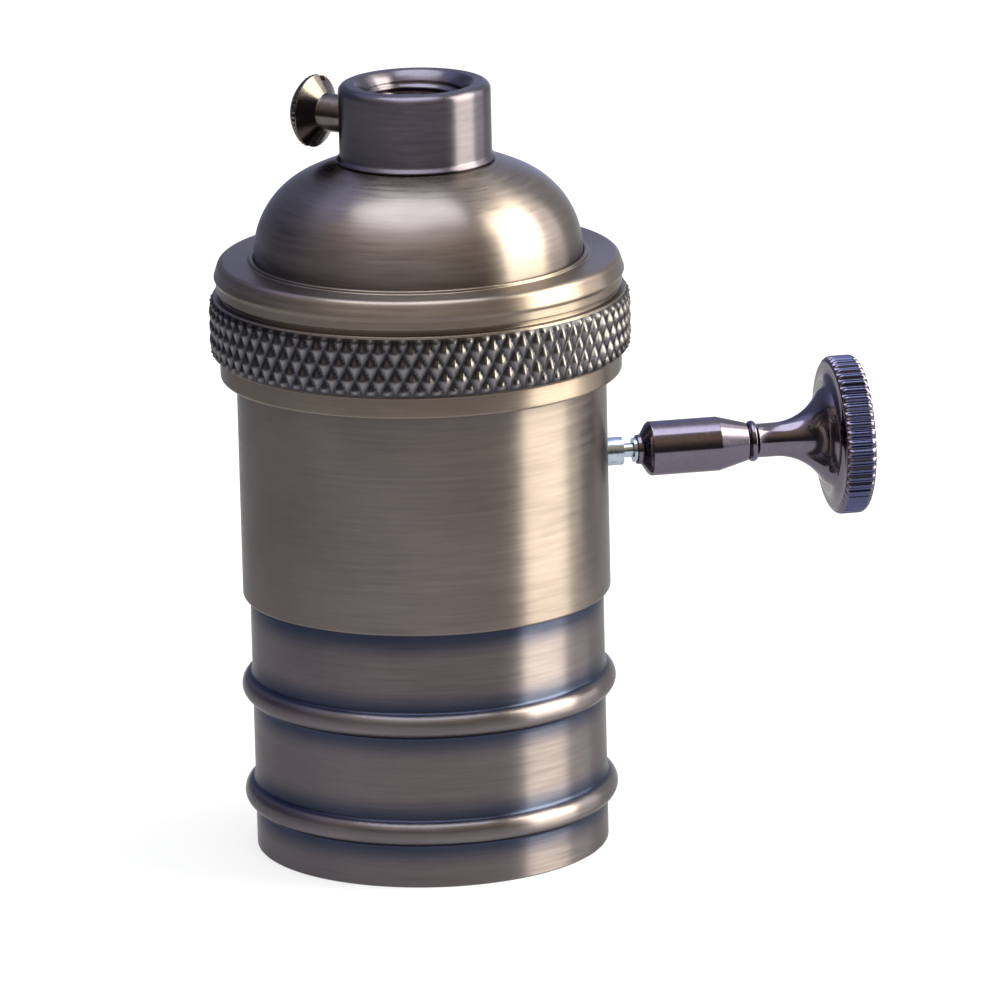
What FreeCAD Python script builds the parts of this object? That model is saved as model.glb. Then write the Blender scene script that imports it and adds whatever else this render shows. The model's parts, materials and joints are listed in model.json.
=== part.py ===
"""Screw-in lamp holder with a knurled clamp ring and a turn-knob switch.

Millimetres. +Z points up the holder towards the neck that hangs it, and the origin is
on the axis at the rim of the mouth. The switch shaft and its knob lie along +X.
"""
import FreeCAD, Part
import Sketcher
import math
import os

# Driving sizes, one sheet cell each.
SIZES = {
    # Body tube, with the thicker head that carries the ring's thread
    "body_radius": 19.5,
    "body_wall": 0.7,
    "body_bottom": 27.5,
    "head_step": 0.8,
    "head_bottom": 52.0,
    "head_top": 62.0,
    "stud_hole_clearance": 0.35,
    # Lower sleeve and its two rolled beads
    "sleeve_wall": 0.5,
    "sleeve_top": 36.0,
    "sleeve_fit": 0.05,
    "lower_bead_height": 5.95,
    "upper_bead_height": 17.64,
    "bead_radius": 1.35,
    "bead_rise": 1.12,
    # Clamp ring
    "ring_skirt": 0.8,
    "thread_clearance": 0.05,
    "band_wall": 0.85,
    "band_height": 2.2,
    "band_chamfer": 0.4,
    "knurl_step": 0.6,
    "knurl_bed": 0.05,
    "knurl_root": 0.4,
    "knurl_depth": 0.45,
    "knurl_height": 6.0,
    "knurl_rows": 2,
    "knurl_diamonds": 80,
    "knurl_runout": 0.3,
    "groove_wall": 0.65,
    "groove_height": 0.55,
    "crown_side_wall": 1.05,
    "crown_wall": 1.3,
    "crown_round": 0.85,
    "crown_rim": 0.9,
    "lip_thickness": 0.8,
    "lip_clearance": 0.1,
    "collar_width": 0.5,
    "collar_height": 0.35,
    # Dome cap
    "flange_thickness": 0.9,
    "flange_inset": 0.2,
    "dome_radius": 17.3,
    "dome_wall": 0.9,
    "dome_straight": 0.5,
    "shoulder_radius": 9.25,
    "crown_arc_radius": 28.1,
    # Neck, staked into the dome
    "neck_bore_radius": 5.0,
    "neck_radius": 8.0,
    "neck_height": 8.3,
    "neck_round": 0.9,
    "neck_mouth_radius": 6.25,
    "neck_mouth_depth": 0.85,
    "neck_foot": 0.35,
    "spigot_radius": 6.2,
    "spigot_fit": 0.05,
    "stake_rim": 1.2,
    "stake_thickness": 0.8,
    # Set screw across the neck
    "set_screw_height": 3.95,
    "set_screw_azimuth": 135.0,
    "set_screw_turn": 17.5,
    "set_screw_radius": 2.0,
    "set_screw_clearance": 0.05,
    "set_screw_tip_gap": 0.2,
    "set_screw_tip_chamfer": 0.4,
    "set_screw_reach": 12.55,
    "set_head_radius": 3.85,
    "set_head_cone": 1.3,
    "set_head_rim": 0.4,
    "set_head_rise": 1.9,
    "set_slot_width": 0.9,
    "set_slot_cut": 0.4,
    # Switch shaft, at right angles to the holder's axis
    "knob_height": 40.9,
    "journal_radius": 2.0,
    "journal_clearance": 0.05,
    "pivot_radius": 1.5,
    "stud_radius": 1.5,
    "stud_reach": 21.4,
    "waist_radius": 0.75,
    "waist_length": 1.2,
    "spigot_thread_radius": 1.3,
    "spigot_length": 6.8,
    "square_side": 2.8,
    # Knob
    "knob_start": 22.95,
    "knob_fit": 0.05,
    "nose_radius": 1.7,
    "nose_length": 1.45,
    "barrel_radius": 2.9,
    "barrel_end": 31.8,
    "cone_radius": 2.05,
    "cone_end": 34.9,
    "knob_bead_radius": 0.55,
    "knob_bead_length": 0.96,
    "knob_waist_radius": 1.82,
    "flare_start": 38.0,
    "flare_radius": 5.9,
    "flare_length": 5.7,
    "disc_start": 44.05,
    "disc_thickness": 3.3,
    "disc_radius": 8.45,
    "disc_chamfer": 0.4,
    "tooth_count": 52,
    "tooth_depth": 0.35,
    # Porcelain core
    "core_clearance": 0.2,
    "skirt_clearance": 0.25,
    "skirt_bore_radius": 14.8,
    "skirt_bottom": 1.6,
    "web_bottom": 25.0,
    "web_thickness": 4.0,
    "chamber_inner": 11.0,
    "chamber_outer": 12.0,
    "chamber_back": 9.0,
    "chamber_front": 6.4,
    "ledge_width": 4.4,
    "bearing_depth": 2.2,
    "pocket_half_width": 3.2,
    "pocket_near": 8.2,
    "pocket_far": 12.6,
    "cover_thickness": 2.0,
    # Screw shell, rolled from sheet to the E27 thread
    "shell_sheet": 0.35,
    "shell_bottom": 4.0,
    "shell_lip_radius": 14.3,
    "thread_pitch": 3.629,
    "thread_crest_radius": 12.2,
    "thread_root_radius": 13.3,
    "shell_hole_radius": 6.9,
    # Contact strips and their fixings
    "strip_thickness": 0.4,
    "strip_width": 4.0,
    "tongue_width": 4.6,
    "tongue_drop": 3.1,
    "rivet_radius": 1.0,
    "rivet_head_radius": 1.7,
    "rivet_head_height": 0.4,
    "rivet_head_rim": 0.2,
    "rivet_place": 3.8,
    "tongue_bend": 0.4,
    "tongue_end": 0.3,
    "tongue_flat_near": 0.7,
    "tongue_flat_far": 2.4,
    "tongue_tip": 1.0,
    "tongue_lift": 0.7,
    "arm_length": 2.8,
    "leaf_end": 0.8,
    "leaf_foot": 1.8,
    "leaf_slope": 1.6,
    "leaf_drop": 1.0,
    "leaf_pad": 1.2,
    "leaf_bend": 0.2,
    "strap_foot": 1.6,
    "leaf_rise": 1.8,
    "leaf_width": 3.0,
    "small_screw_radius": 1.0,
    "leaf_screw_length": 3.0,
    "leaf_head_radius": 1.5,
    "leaf_head_height": 1.0,
    "cover_screw_length": 5.0,
    "cover_head_radius": 1.9,
    "cover_head_height": 1.2,
    "shell_screw_radius": 1.3,
    "shell_head_radius": 2.2,
    "shell_head_height": 0.8,
    "shell_screw_place": 10.2,
    "cover_screw_place": 15.2,
    "cover_screw_azimuth": 50.0,
    "fixing_clearance": 0.05,
    "strip_gap": 0.2,
    # Rotor and detent
    "cam_radius": 4.4,
    "cam_clearance": 0.3,
    "lobe_half_width": 2.9,
    "square_half_width": 3.5,
    "cam_section": 4.0,
    "detent_thickness": 0.3,
    "detent_bow": 0.1,
    "clip_radius": 3.4,
    "clip_thickness": 0.6,
    # Terminals
    "terminal_width": 5.0,
    "terminal_length": 5.2,
    "terminal_height": 6.0,
    "terminal_gap": 6.0,
    "wire_hole_radius": 1.3,
    "wire_hole_height": 2.2,
    "terminal_screw_radius": 1.25,
    "terminal_screw_length": 2.6,
    "terminal_head_radius": 2.0,
    "terminal_head_height": 1.4,
    "terminal_head_gap": 0.4,
}

class Length:
    """A size that knows both its value and the sheet expression that gives it."""

    def __init__(self, value, text):
        self.value = float(value)
        self.text = text

    def _join(self, other, sign, value, swap=False):
        pair = (other.text, self.text) if swap else (self.text, other.text)
        return Length(value, "(%s %s %s)" % (pair[0], sign, pair[1]))

    def __add__(self, other):
        other = length(other)
        return self._join(other, "+", self.value + other.value)

    def __radd__(self, other):
        return length(other) + self

    def __sub__(self, other):
        other = length(other)
        return self._join(other, "-", self.value - other.value)

    def __rsub__(self, other):
        return length(other) - self

    def __mul__(self, other):
        other = length(other)
        return self._join(other, "*", self.value * other.value)

    def __rmul__(self, other):
        return length(other) * self

    def __truediv__(self, other):
        other = length(other)
        return self._join(other, "/", self.value / other.value)

    def __neg__(self):
        return 0 - self


def length(item):
    """Any number as a Length."""
    return item if isinstance(item, Length) else Length(item, repr(float(item)))


def root(item):
    """Square root of a Length."""
    return Length(math.sqrt(item.value), "sqrt(%s)" % item.text)


def leg(hypotenuse, other_leg):
    """The third side of a right-angled triangle."""
    return root(hypotenuse * hypotenuse - other_leg * other_leg)


def size(name):
    """The named size, tied to its sheet cell."""
    return Length(float(sheet.get(name)), "Sizes." + name)


# ---------------------------------------------------------------- modelling helpers

def new_body(label, x=0, y=0, z=0, yaw=0, pitch=0, roll=0):
    """A PartDesign body whose placement follows the sheet."""
    body = doc.addObject("PartDesign::Body", label)
    body.Label = label
    place = tuple(length(item).text for item in (x, y, z, yaw, pitch, roll))
    body.setExpression(
        "Placement",
        "placement(vector(%s; %s; %s); rotation(%s; %s; %s))" % place)
    return body


def origin_item(body, role):
    """One of the body's own origin planes or axes."""
    return next(item for item in body.Origin.OriginFeatures if item.Role == role)


def add_arc(start, end, radius, turn):
    """Minor arc from start to end; turn is +1 anticlockwise, -1 clockwise."""
    along = end.sub(start)
    height = math.sqrt(max(radius ** 2 - along.Length ** 2 / 4, 0.0))
    side = FreeCAD.Vector(-along.y, along.x, 0).normalize() * (height * turn)
    centre = (start + end) * 0.5 + side
    first, last = (start, end) if turn > 0 else (end, start)
    angles = [math.atan2(p.y - centre.y, p.x - centre.x) for p in (first, last)]
    circle = Part.Circle(centre, FreeCAD.Vector(0, 0, 1), radius)
    return Part.ArcOfCircle(circle, angles[0], angles[1])


def fix_point(sketch, geometry, position, x, y):
    """Hold a sketch point at x, y from the origin by two named sizes."""
    for kind, item in (("DistanceX", length(x)), ("DistanceY", length(y))):
        constraint = Sketcher.Constraint(kind, -1, 1, geometry, position, item.value)
        index = sketch.addConstraint(constraint)
        if "Sizes" in item.text:
            sketch.setExpression("Constraints[%d]" % index, item.text)


def fix_radius(sketch, geometry, radius):
    """Hold an arc's or circle's radius by a named size."""
    radius = length(radius)
    constraint = Sketcher.Constraint("Radius", geometry, radius.value)
    index = sketch.addConstraint(constraint)
    if "Sizes" in radius.text:
        sketch.setExpression("Constraints[%d]" % index, radius.text)


def draw_loop(sketch, outline):
    """A closed outline. Each entry is the x and y of a corner, and after them, where the
    edge that leads to the corner is round, its radius and turn."""
    corners = [FreeCAD.Vector(length(e[0]).value, length(e[1]).value, 0) for e in outline]
    starts, ends = [], []
    for index, entry in enumerate(outline):
        start, end = corners[index - 1], corners[index]
        if len(entry) == 2:
            edge = sketch.addGeometry(Part.LineSegment(start, end))
            positions = (1, 2)
        else:
            radius, turn = length(entry[2]), entry[3]
            edge = sketch.addGeometry(add_arc(start, end, radius.value, turn))
            positions = (1, 2) if turn > 0 else (2, 1)
        starts.append((edge, positions[0]))
        ends.append((edge, positions[1]))
    for index, entry in enumerate(outline):
        following = starts[(index + 1) % len(outline)]
        constraint = Sketcher.Constraint("Coincident", *ends[index], *following)
        sketch.addConstraint(constraint)
        fix_point(sketch, *ends[index], entry[0], entry[1])
        if len(entry) > 2:
            fix_radius(sketch, ends[index][0], entry[2])


def draw_circle(sketch, x, y, radius):
    """A full circle held by named sizes."""
    centre = FreeCAD.Vector(length(x).value, length(y).value, 0)
    circle = Part.Circle(centre, FreeCAD.Vector(0, 0, 1), length(radius).value)
    edge = sketch.addGeometry(circle)
    fix_point(sketch, edge, 3, x, y)
    fix_radius(sketch, edge, radius)


def new_sketch(body, role, loops=(), circles=(), offset=0):
    """A sketch on one of the body's own planes, moved along its normal by offset."""
    sketch = body.newObject("Sketcher::SketchObject", body.Label + "_sketch")
    sketch.AttachmentSupport = (origin_item(body, role), [""])
    sketch.MapMode = "FlatFace"
    sketch.setExpression("AttachmentOffset.Base.z", length(offset).text)
    for loop in loops:
        draw_loop(sketch, loop)
    for circle in circles:
        draw_circle(sketch, *circle)
    return sketch


def revolve(body, outline, axis="V_Axis"):
    """A turned solid: the outline in the XZ plane, spun about one of its axes."""
    sketch = new_sketch(body, "XZ_Plane", [outline])
    feature = body.newObject("PartDesign::Revolution", body.Label + "_turned")
    feature.Profile = sketch
    feature.ReferenceAxis = (sketch, [axis])
    feature.Angle = 360
    return feature


def pad(body, role, depth, loops=(), circles=(), offset=0, symmetric=False):
    """A solid of even thickness on one of the body's own planes."""
    sketch = new_sketch(body, role, loops, circles, offset)
    feature = body.newObject("PartDesign::Pad", body.Label + "_pad")
    feature.Profile = sketch
    feature.setExpression("Length", length(depth).text)
    if symmetric:
        feature.SideType = "Symmetric"
    return feature


def pocket(body, role, depth, loops=(), circles=(), offset=0, forward=False,
           symmetric=False):
    """A cut from a plane, against its normal unless it runs forward, and never empty."""
    doc.recompute()
    before = body.Shape.Volume
    sketch = new_sketch(body, role, loops, circles, offset)
    feature = body.newObject("PartDesign::Pocket", body.Label + "_pocket")
    feature.Profile = sketch
    feature.setExpression("Length", length(depth).text)
    feature.Reversed = forward
    if symmetric:
        feature.SideType = "Symmetric"
    doc.recompute()
    if body.Shape.Volume >= before:
        raise RuntimeError(feature.Name + " cuts nothing")
    return feature


def box_loop(low_x, low_y, high_x, high_y):
    """A rectangle from its low and high corners."""
    return [(low_x, low_y), (high_x, low_y), (high_x, high_y), (low_x, high_y)]


def slotted_screw(label, shank_radius, shank_length, head_radius, head_height, **place):
    """A cheese-head screw: its origin is under the head, and the shank points down."""
    body = new_body(label, **place)
    slot_width = head_radius * 0.35
    slot_depth = head_height * 0.5
    revolve(body, [
        (0, -shank_length), (shank_radius, -shank_length), (shank_radius, 0),
        (head_radius, 0), (head_radius, head_height), (0, head_height)])
    pocket(body, "XY_Plane", slot_depth, offset=head_height, loops=[box_loop(
        -head_radius * 1.1, -slot_width / 2, head_radius * 1.1, slot_width / 2)])
    return body


def strip(label, outline, width, holes=()):
    """A folded strip: its edge-on outline in the YZ plane, and round holes along Z."""
    body = new_body(label)
    pad(body, "YZ_Plane", width, [outline], symmetric=True)
    for place, radius, top, depth in holes:
        pocket(body, "XY_Plane", depth, circles=[(0, place, radius)], offset=top)
    return body


# ---------------------------------------------------------------- outer shells

def make_body_tube():
    """Drawn tube with a thicker threaded head, and the hole for the switch shaft."""
    body = new_body("body_tube")
    inner = body_inner()
    revolve(body, [
        (inner, size("body_bottom")), (size("body_radius"), size("body_bottom")),
        (size("body_radius"), size("head_bottom")),
        (head_radius(), size("head_bottom")),
        (head_radius(), size("head_top")), (inner, size("head_top"))])
    hole = size("stud_radius") + size("stud_hole_clearance")
    pocket(body, "YZ_Plane", size("body_radius") + 1, forward=True,
           circles=[(0, size("knob_height"), hole)])
    return body


def body_inner():
    """Radius of the bore of the body tube."""
    return size("body_radius") - size("body_wall")


def head_radius():
    """Outer radius of the body tube's head, which carries the ring's thread."""
    return size("body_radius") + size("head_step")


def sleeve_radius():
    """Outer radius of the lower sleeve, which fits in the body tube."""
    return body_inner() - size("sleeve_fit")


def bead_points(wall_radius, height, radius, centre_radius, rising):
    """Where one rolled bead leaves the wall and comes back, as entries of an outline."""
    half = leg(radius, centre_radius - wall_radius)
    sign = 1 if rising else -1
    return [(wall_radius, height - half * sign),
            (wall_radius, height + half * sign, radius, sign)]


def make_lower_sleeve():
    """Thin drawn sleeve whose two beads are rolled out of its own wall."""
    body = new_body("lower_sleeve")
    outer = sleeve_radius()
    wall = size("sleeve_wall")
    inner = outer - wall
    radius = size("bead_radius")
    centre = outer + size("bead_rise") - radius
    low, high = size("lower_bead_height"), size("upper_bead_height")
    outline = [(inner, 0), (outer, 0)]
    for height in (low, high):
        outline += bead_points(outer, height, radius, centre, True)
    outline += [(outer, size("sleeve_top")), (inner, size("sleeve_top"))]
    for height in (high, low):
        outline += bead_points(inner, height, radius - wall, centre, False)
    revolve(body, outline)
    return body


def ring_heights():
    """Heights of the clamp ring's lip and knurl, from the parts that it clamps."""
    lip = size("head_top") + size("flange_thickness")
    bottom = size("head_bottom") - size("ring_skirt")
    knurl = bottom + size("band_height") + size("band_chamfer")
    return bottom, knurl, knurl + size("knurl_height"), lip, lip + size("lip_thickness")


def make_clamp_ring():
    """Turned ring that draws the dome's flange on to the body, with a knurled band."""
    bottom, knurl_bottom, knurl_top, lip, top = ring_heights()
    head = head_radius()
    bore = head + size("thread_clearance")
    band, chamfer = head + size("band_wall"), size("band_chamfer")
    valley = band + size("knurl_step")
    blank_radius = valley - size("knurl_bed")
    groove_radius = head + size("groove_wall")
    side, crown = head + size("crown_side_wall"), head + size("crown_wall")
    crown_round, rim = size("crown_round"), size("crown_rim")
    groove = knurl_top + size("knurl_runout")
    groove_top = groove + size("groove_height")
    collar = size("dome_radius") + size("lip_clearance")
    collar_edge = collar + size("collar_width")
    collar_top = top + size("collar_height")
    blank = new_body("clamp_ring_blank")
    revolve(blank, [
        (bore, bottom), (band - chamfer, bottom), (band, bottom + chamfer),
        (band, knurl_bottom - chamfer),
        (blank_radius, knurl_bottom - size("knurl_bed") * 2),
        (blank_radius, groove), (groove_radius, groove), (groove_radius, groove_top),
        (side, groove_top), (side, top - crown_round - rim),
        (crown, top - crown_round - rim / 2), (crown, top - crown_round),
        (crown - crown_round, top, crown_round, 1), (collar_edge, top),
        (collar_edge, collar_top), (collar, collar_top), (collar, lip), (bore, lip)])
    band_solid = doc.addObject("Part::Feature", "knurl_band")
    band_solid.Shape = knurled_band(
        valley.value, (valley + size("knurl_depth")).value,
        (blank_radius - size("knurl_root")).value,
        knurl_bottom.value, size("knurl_height").value,
        int(size("knurl_rows").value), int(size("knurl_diamonds").value))
    ring = doc.addObject("Part::MultiFuse", "clamp_ring")
    ring.Label = "clamp_ring"
    ring.Shapes = [blank, band_solid]
    return ring


def knurled_band(valley, peak, inner, bottom, height, rows, diamonds):
    """Annular band of diamond pyramids: corners in the valley, centres at the peak."""
    levels = 2 * rows
    step = math.pi / diamonds
    rise = height / levels

    def point(level, index):
        raised = (level + index) % 2 == 1 and 0 < level < levels
        radius = peak if raised else valley
        angle = index * step
        return FreeCAD.Vector(radius * math.cos(angle), radius * math.sin(angle),
                              bottom + level * rise)

    def face(corners):
        return Part.Face(Part.makePolygon(corners + corners[:1]))

    faces = []
    for level in range(levels + 1):
        for index in range(2 * diamonds):
            if (level + index) % 2 == 0:
                continue
            centre = point(level, index)
            left, right = point(level, index - 1), point(level, index + 1)
            if level < levels:
                above = point(level + 1, index)
                faces.append(face([centre, right, above]))
                faces.append(face([centre, above, left]))
            if level > 0:
                below = point(level - 1, index)
                faces.append(face([centre, below, right]))
                faces.append(face([centre, left, below]))
    for level, turn in ((0, -1), (levels, 1)):
        outer = [point(level, i) for i in range(2 * diamonds)]
        outer_wire = Part.makePolygon(outer + outer[:1])
        centre = FreeCAD.Vector(0, 0, bottom + level * rise)
        inner_wire = Part.Wire(Part.makeCircle(inner, centre))
        inner_wire.reverse()
        faces.append(Part.Face([outer_wire, inner_wire]))
    bore = Part.makeCylinder(inner, height, FreeCAD.Vector(0, 0, bottom))
    faces += [item for item in bore.Faces if isinstance(item.Surface, Part.Cylinder)]
    shell = Part.makeShell(faces)
    shell.sewShape()
    solid = Part.Solid(shell)
    if solid.Volume < 0:
        solid.reverse()
    return solid


def dome_arcs():
    """Centres and joint of the dome's shoulder arc and crown arc."""
    shoulder, crown = size("shoulder_radius"), size("crown_arc_radius")
    top = ring_heights()[4]
    base = top + size("dome_straight")
    centre_r = size("dome_radius") - shoulder
    drop = leg(crown - shoulder, centre_r)
    return base, centre_r, drop


def neck_seat():
    """Height of the flat on the crown that the neck stands on."""
    base, centre_r, drop = dome_arcs()
    return base - drop + leg(size("crown_arc_radius"), foot_radius())


def foot_radius():
    """Radius of the neck's foot, with the small lip that beds on the dome."""
    return size("neck_radius") + size("neck_foot")


def make_dome_cap():
    """Spun dome: a flange under the ring's lip, a shoulder arc and a crown arc."""
    body = new_body("dome_cap")
    base, centre_r, drop = dome_arcs()
    wall = size("dome_wall")
    shoulder, crown = size("shoulder_radius"), size("crown_arc_radius")
    radius = size("dome_radius")
    flange_radius = head_radius() - size("flange_inset")
    head_top = size("head_top")
    hole = size("spigot_radius") + size("spigot_fit")
    reach = crown - shoulder
    foot = foot_radius()

    def joint(arc):
        return centre_r * (1 + arc / reach), base + drop * arc / reach

    def crown_height(arc):
        return base - drop + leg(arc, foot)

    revolve(body, [
        (radius - wall, head_top), (flange_radius, head_top),
        (flange_radius, head_top + size("flange_thickness")),
        (radius, head_top + size("flange_thickness")), (radius, base),
        (*joint(shoulder), shoulder, 1), (foot, crown_height(crown), crown, 1),
        (hole, crown_height(crown)), (hole, crown_height(crown - wall)),
        (foot, crown_height(crown - wall)),
        (*joint(shoulder - wall), crown - wall, -1),
        (radius - wall, base, shoulder - wall, -1)])
    return body


def make_neck():
    """Turned neck with the hanging tube's bore, staked under the dome. Its own +X is
    the set screw's hole."""
    body = new_body("neck", yaw=size("set_screw_azimuth"))
    seat = neck_seat()
    under = seat - (leg(size("crown_arc_radius"), foot_radius())
                    - leg(size("crown_arc_radius") - size("dome_wall"), foot_radius()))
    top = seat + size("neck_height")
    bore, radius, foot = size("neck_bore_radius"), size("neck_radius"), size("neck_foot")
    stake = size("spigot_radius") + size("stake_rim")
    mouth, rounding = size("neck_mouth_radius"), size("neck_round")
    revolve(body, [
        (bore, under - size("stake_thickness")), (stake, under - size("stake_thickness")),
        (stake, under), (size("spigot_radius"), under), (size("spigot_radius"), seat),
        (radius + foot, seat), (radius + foot, seat + foot), (radius, seat + foot),
        (radius, top - rounding), (radius - rounding, top, rounding, 1),
        (mouth, top), (bore, top - size("neck_mouth_depth"))])
    pocket(body, "YZ_Plane", radius + 1, forward=True, circles=[(
        0, seat + size("set_screw_height"),
        size("set_screw_radius") + size("set_screw_clearance"))])
    return body


def make_set_screw():
    """Slotted mushroom-head screw that locks the hanging tube; its axis is its own +X."""
    height = neck_seat() + size("set_screw_height")
    body = new_body("set_screw", z=height, yaw=size("set_screw_azimuth"),
                    roll=size("set_screw_turn"))
    shank, head = size("set_screw_radius"), size("set_head_radius")
    rim, rise = size("set_screw_reach"), size("set_head_rise")
    face = rim + size("set_head_rim")
    tip = size("neck_bore_radius") + size("set_screw_tip_gap")
    dome = (head * head + rise * rise) / (rise * 2)
    chamfer = size("set_screw_tip_chamfer")
    revolve(body, [
        (tip, 0), (face + rise, 0), (face, head, dome, 1), (rim, head),
        (rim - size("set_head_cone"), shank), (tip + chamfer, shank),
        (tip, shank - chamfer)], axis="H_Axis")
    width = size("set_slot_width")
    depth = rise + size("set_head_rim") + size("set_slot_cut")
    pocket(body, "YZ_Plane", depth, offset=face + rise,
           loops=[box_loop(-head * 1.1, -width / 2, head * 1.1, width / 2)])
    return body


# ---------------------------------------------------------------- insulating core

def leaf_top():
    """Top of the contact leaf, just under the rotor's lobe."""
    return size("knob_height") - size("cam_radius") - size("cam_clearance")


def ledge_height():
    """Height of the ledge in the switch chamber that the leaf is screwed to."""
    return leaf_top() - size("leaf_rise") - size("strip_thickness")


def web_top():
    """Floor of the switch chamber."""
    return size("web_bottom") + size("web_thickness")


def core_top():
    """Top of the core, which leaves room for the detent spring over the rotor."""
    return (size("knob_height") + size("cam_radius") + size("cam_clearance")
            + size("detent_thickness") + size("detent_bow"))


def cover_top():
    """Top of the chamber's cover, where the terminals stand."""
    return core_top() + size("cover_thickness")


def core_radius():
    """Outer radius of the core's upper part, inside the body tube."""
    return body_inner() - size("core_clearance")


def screw_spot(turn):
    """Place of a cover screw: turn is +1 or -1, on opposite sides of the axis."""
    angle = math.radians(size("cover_screw_azimuth").value)
    place = size("cover_screw_place")
    across = Length(math.cos(angle), "cos(Sizes.cover_screw_azimuth * 1deg)")
    along = Length(math.sin(angle), "sin(Sizes.cover_screw_azimuth * 1deg)")
    return place * across * turn, place * along * turn


def make_porcelain_core():
    """Insulating core: a skirt round the screw shell, a web and the switch chamber."""
    body = new_body("porcelain_core")
    skirt = sleeve_radius() - size("sleeve_wall") - size("skirt_clearance")
    bore, web = size("skirt_bore_radius"), size("web_bottom")
    top = core_top()
    revolve(body, [
        (bore, size("skirt_bottom")), (skirt, size("skirt_bottom")),
        (skirt, size("sleeve_top")), (core_radius(), size("sleeve_top")),
        (core_radius(), top), (0, top), (0, web), (bore, web)])
    inner, outer = size("chamber_inner"), size("chamber_outer")
    back, front = size("chamber_back"), size("chamber_front")
    pocket(body, "XY_Plane", top - ledge_height(), offset=top,
           loops=[box_loop(-inner, -back, outer, front)])
    pocket(body, "XY_Plane", top - web_top(), offset=top,
           loops=[box_loop(-inner, size("ledge_width") - back, outer, front)])
    width = size("pocket_half_width")
    pocket(body, "XY_Plane", top - web_top(), offset=top,
           loops=[box_loop(-width, size("pocket_near"), width, size("pocket_far"))])
    journal = size("journal_radius") + size("journal_clearance")
    pocket(body, "YZ_Plane", core_radius(), forward=True,
           circles=[(0, size("knob_height"), journal)])
    pivot = size("pivot_radius") + size("journal_clearance")
    pocket(body, "YZ_Plane", inner + size("bearing_depth"),
           circles=[(0, size("knob_height"), pivot)])
    gap = size("fixing_clearance")
    pocket(body, "XY_Plane", size("web_thickness") + 1, offset=web_top(),
           circles=[(0, size("rivet_place"), size("rivet_radius") + gap)])
    for side in (-1, 1):
        pocket(body, "XY_Plane", size("web_thickness") + 2, offset=web_top() + 1,
               circles=[(0, size("shell_screw_place") * side,
                         size("shell_screw_radius") + gap)])
        pocket(body, "XY_Plane", size("cover_screw_length"), offset=top, circles=[(
            *screw_spot(side), size("small_screw_radius") + gap)])
    pocket(body, "XY_Plane", size("leaf_screw_length"), offset=ledge_height(), circles=[(
        0, leaf_screw_place(), size("small_screw_radius") + gap)])
    return body


def make_core_cover():
    """Insulating lid of the switch chamber, pierced for the straps and fixings."""
    body = new_body("core_cover")
    top, depth = cover_top(), size("cover_thickness")
    pad(body, "XY_Plane", depth, circles=[(0, 0, core_radius())], offset=core_top())
    thick, room = size("strip_thickness"), size("strip_gap")
    width = size("strip_width") / 2 + room
    gap = size("fixing_clearance")
    for near, far in ((live_rise() - room, live_rise() + thick + room),
                      (neutral_rise() - thick - room, neutral_rise() + room)):
        pocket(body, "XY_Plane", depth + 1, offset=top,
               loops=[box_loop(-width, near, width, far)])
    for side in (-1, 1):
        pocket(body, "XY_Plane", depth + 1, offset=top, circles=[(
            *screw_spot(side), size("small_screw_radius") + gap)])
        pocket(body, "XY_Plane", depth + 1, offset=top, circles=[(
            0, terminal_place() * side, size("rivet_radius") + gap)])
    return body


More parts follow.
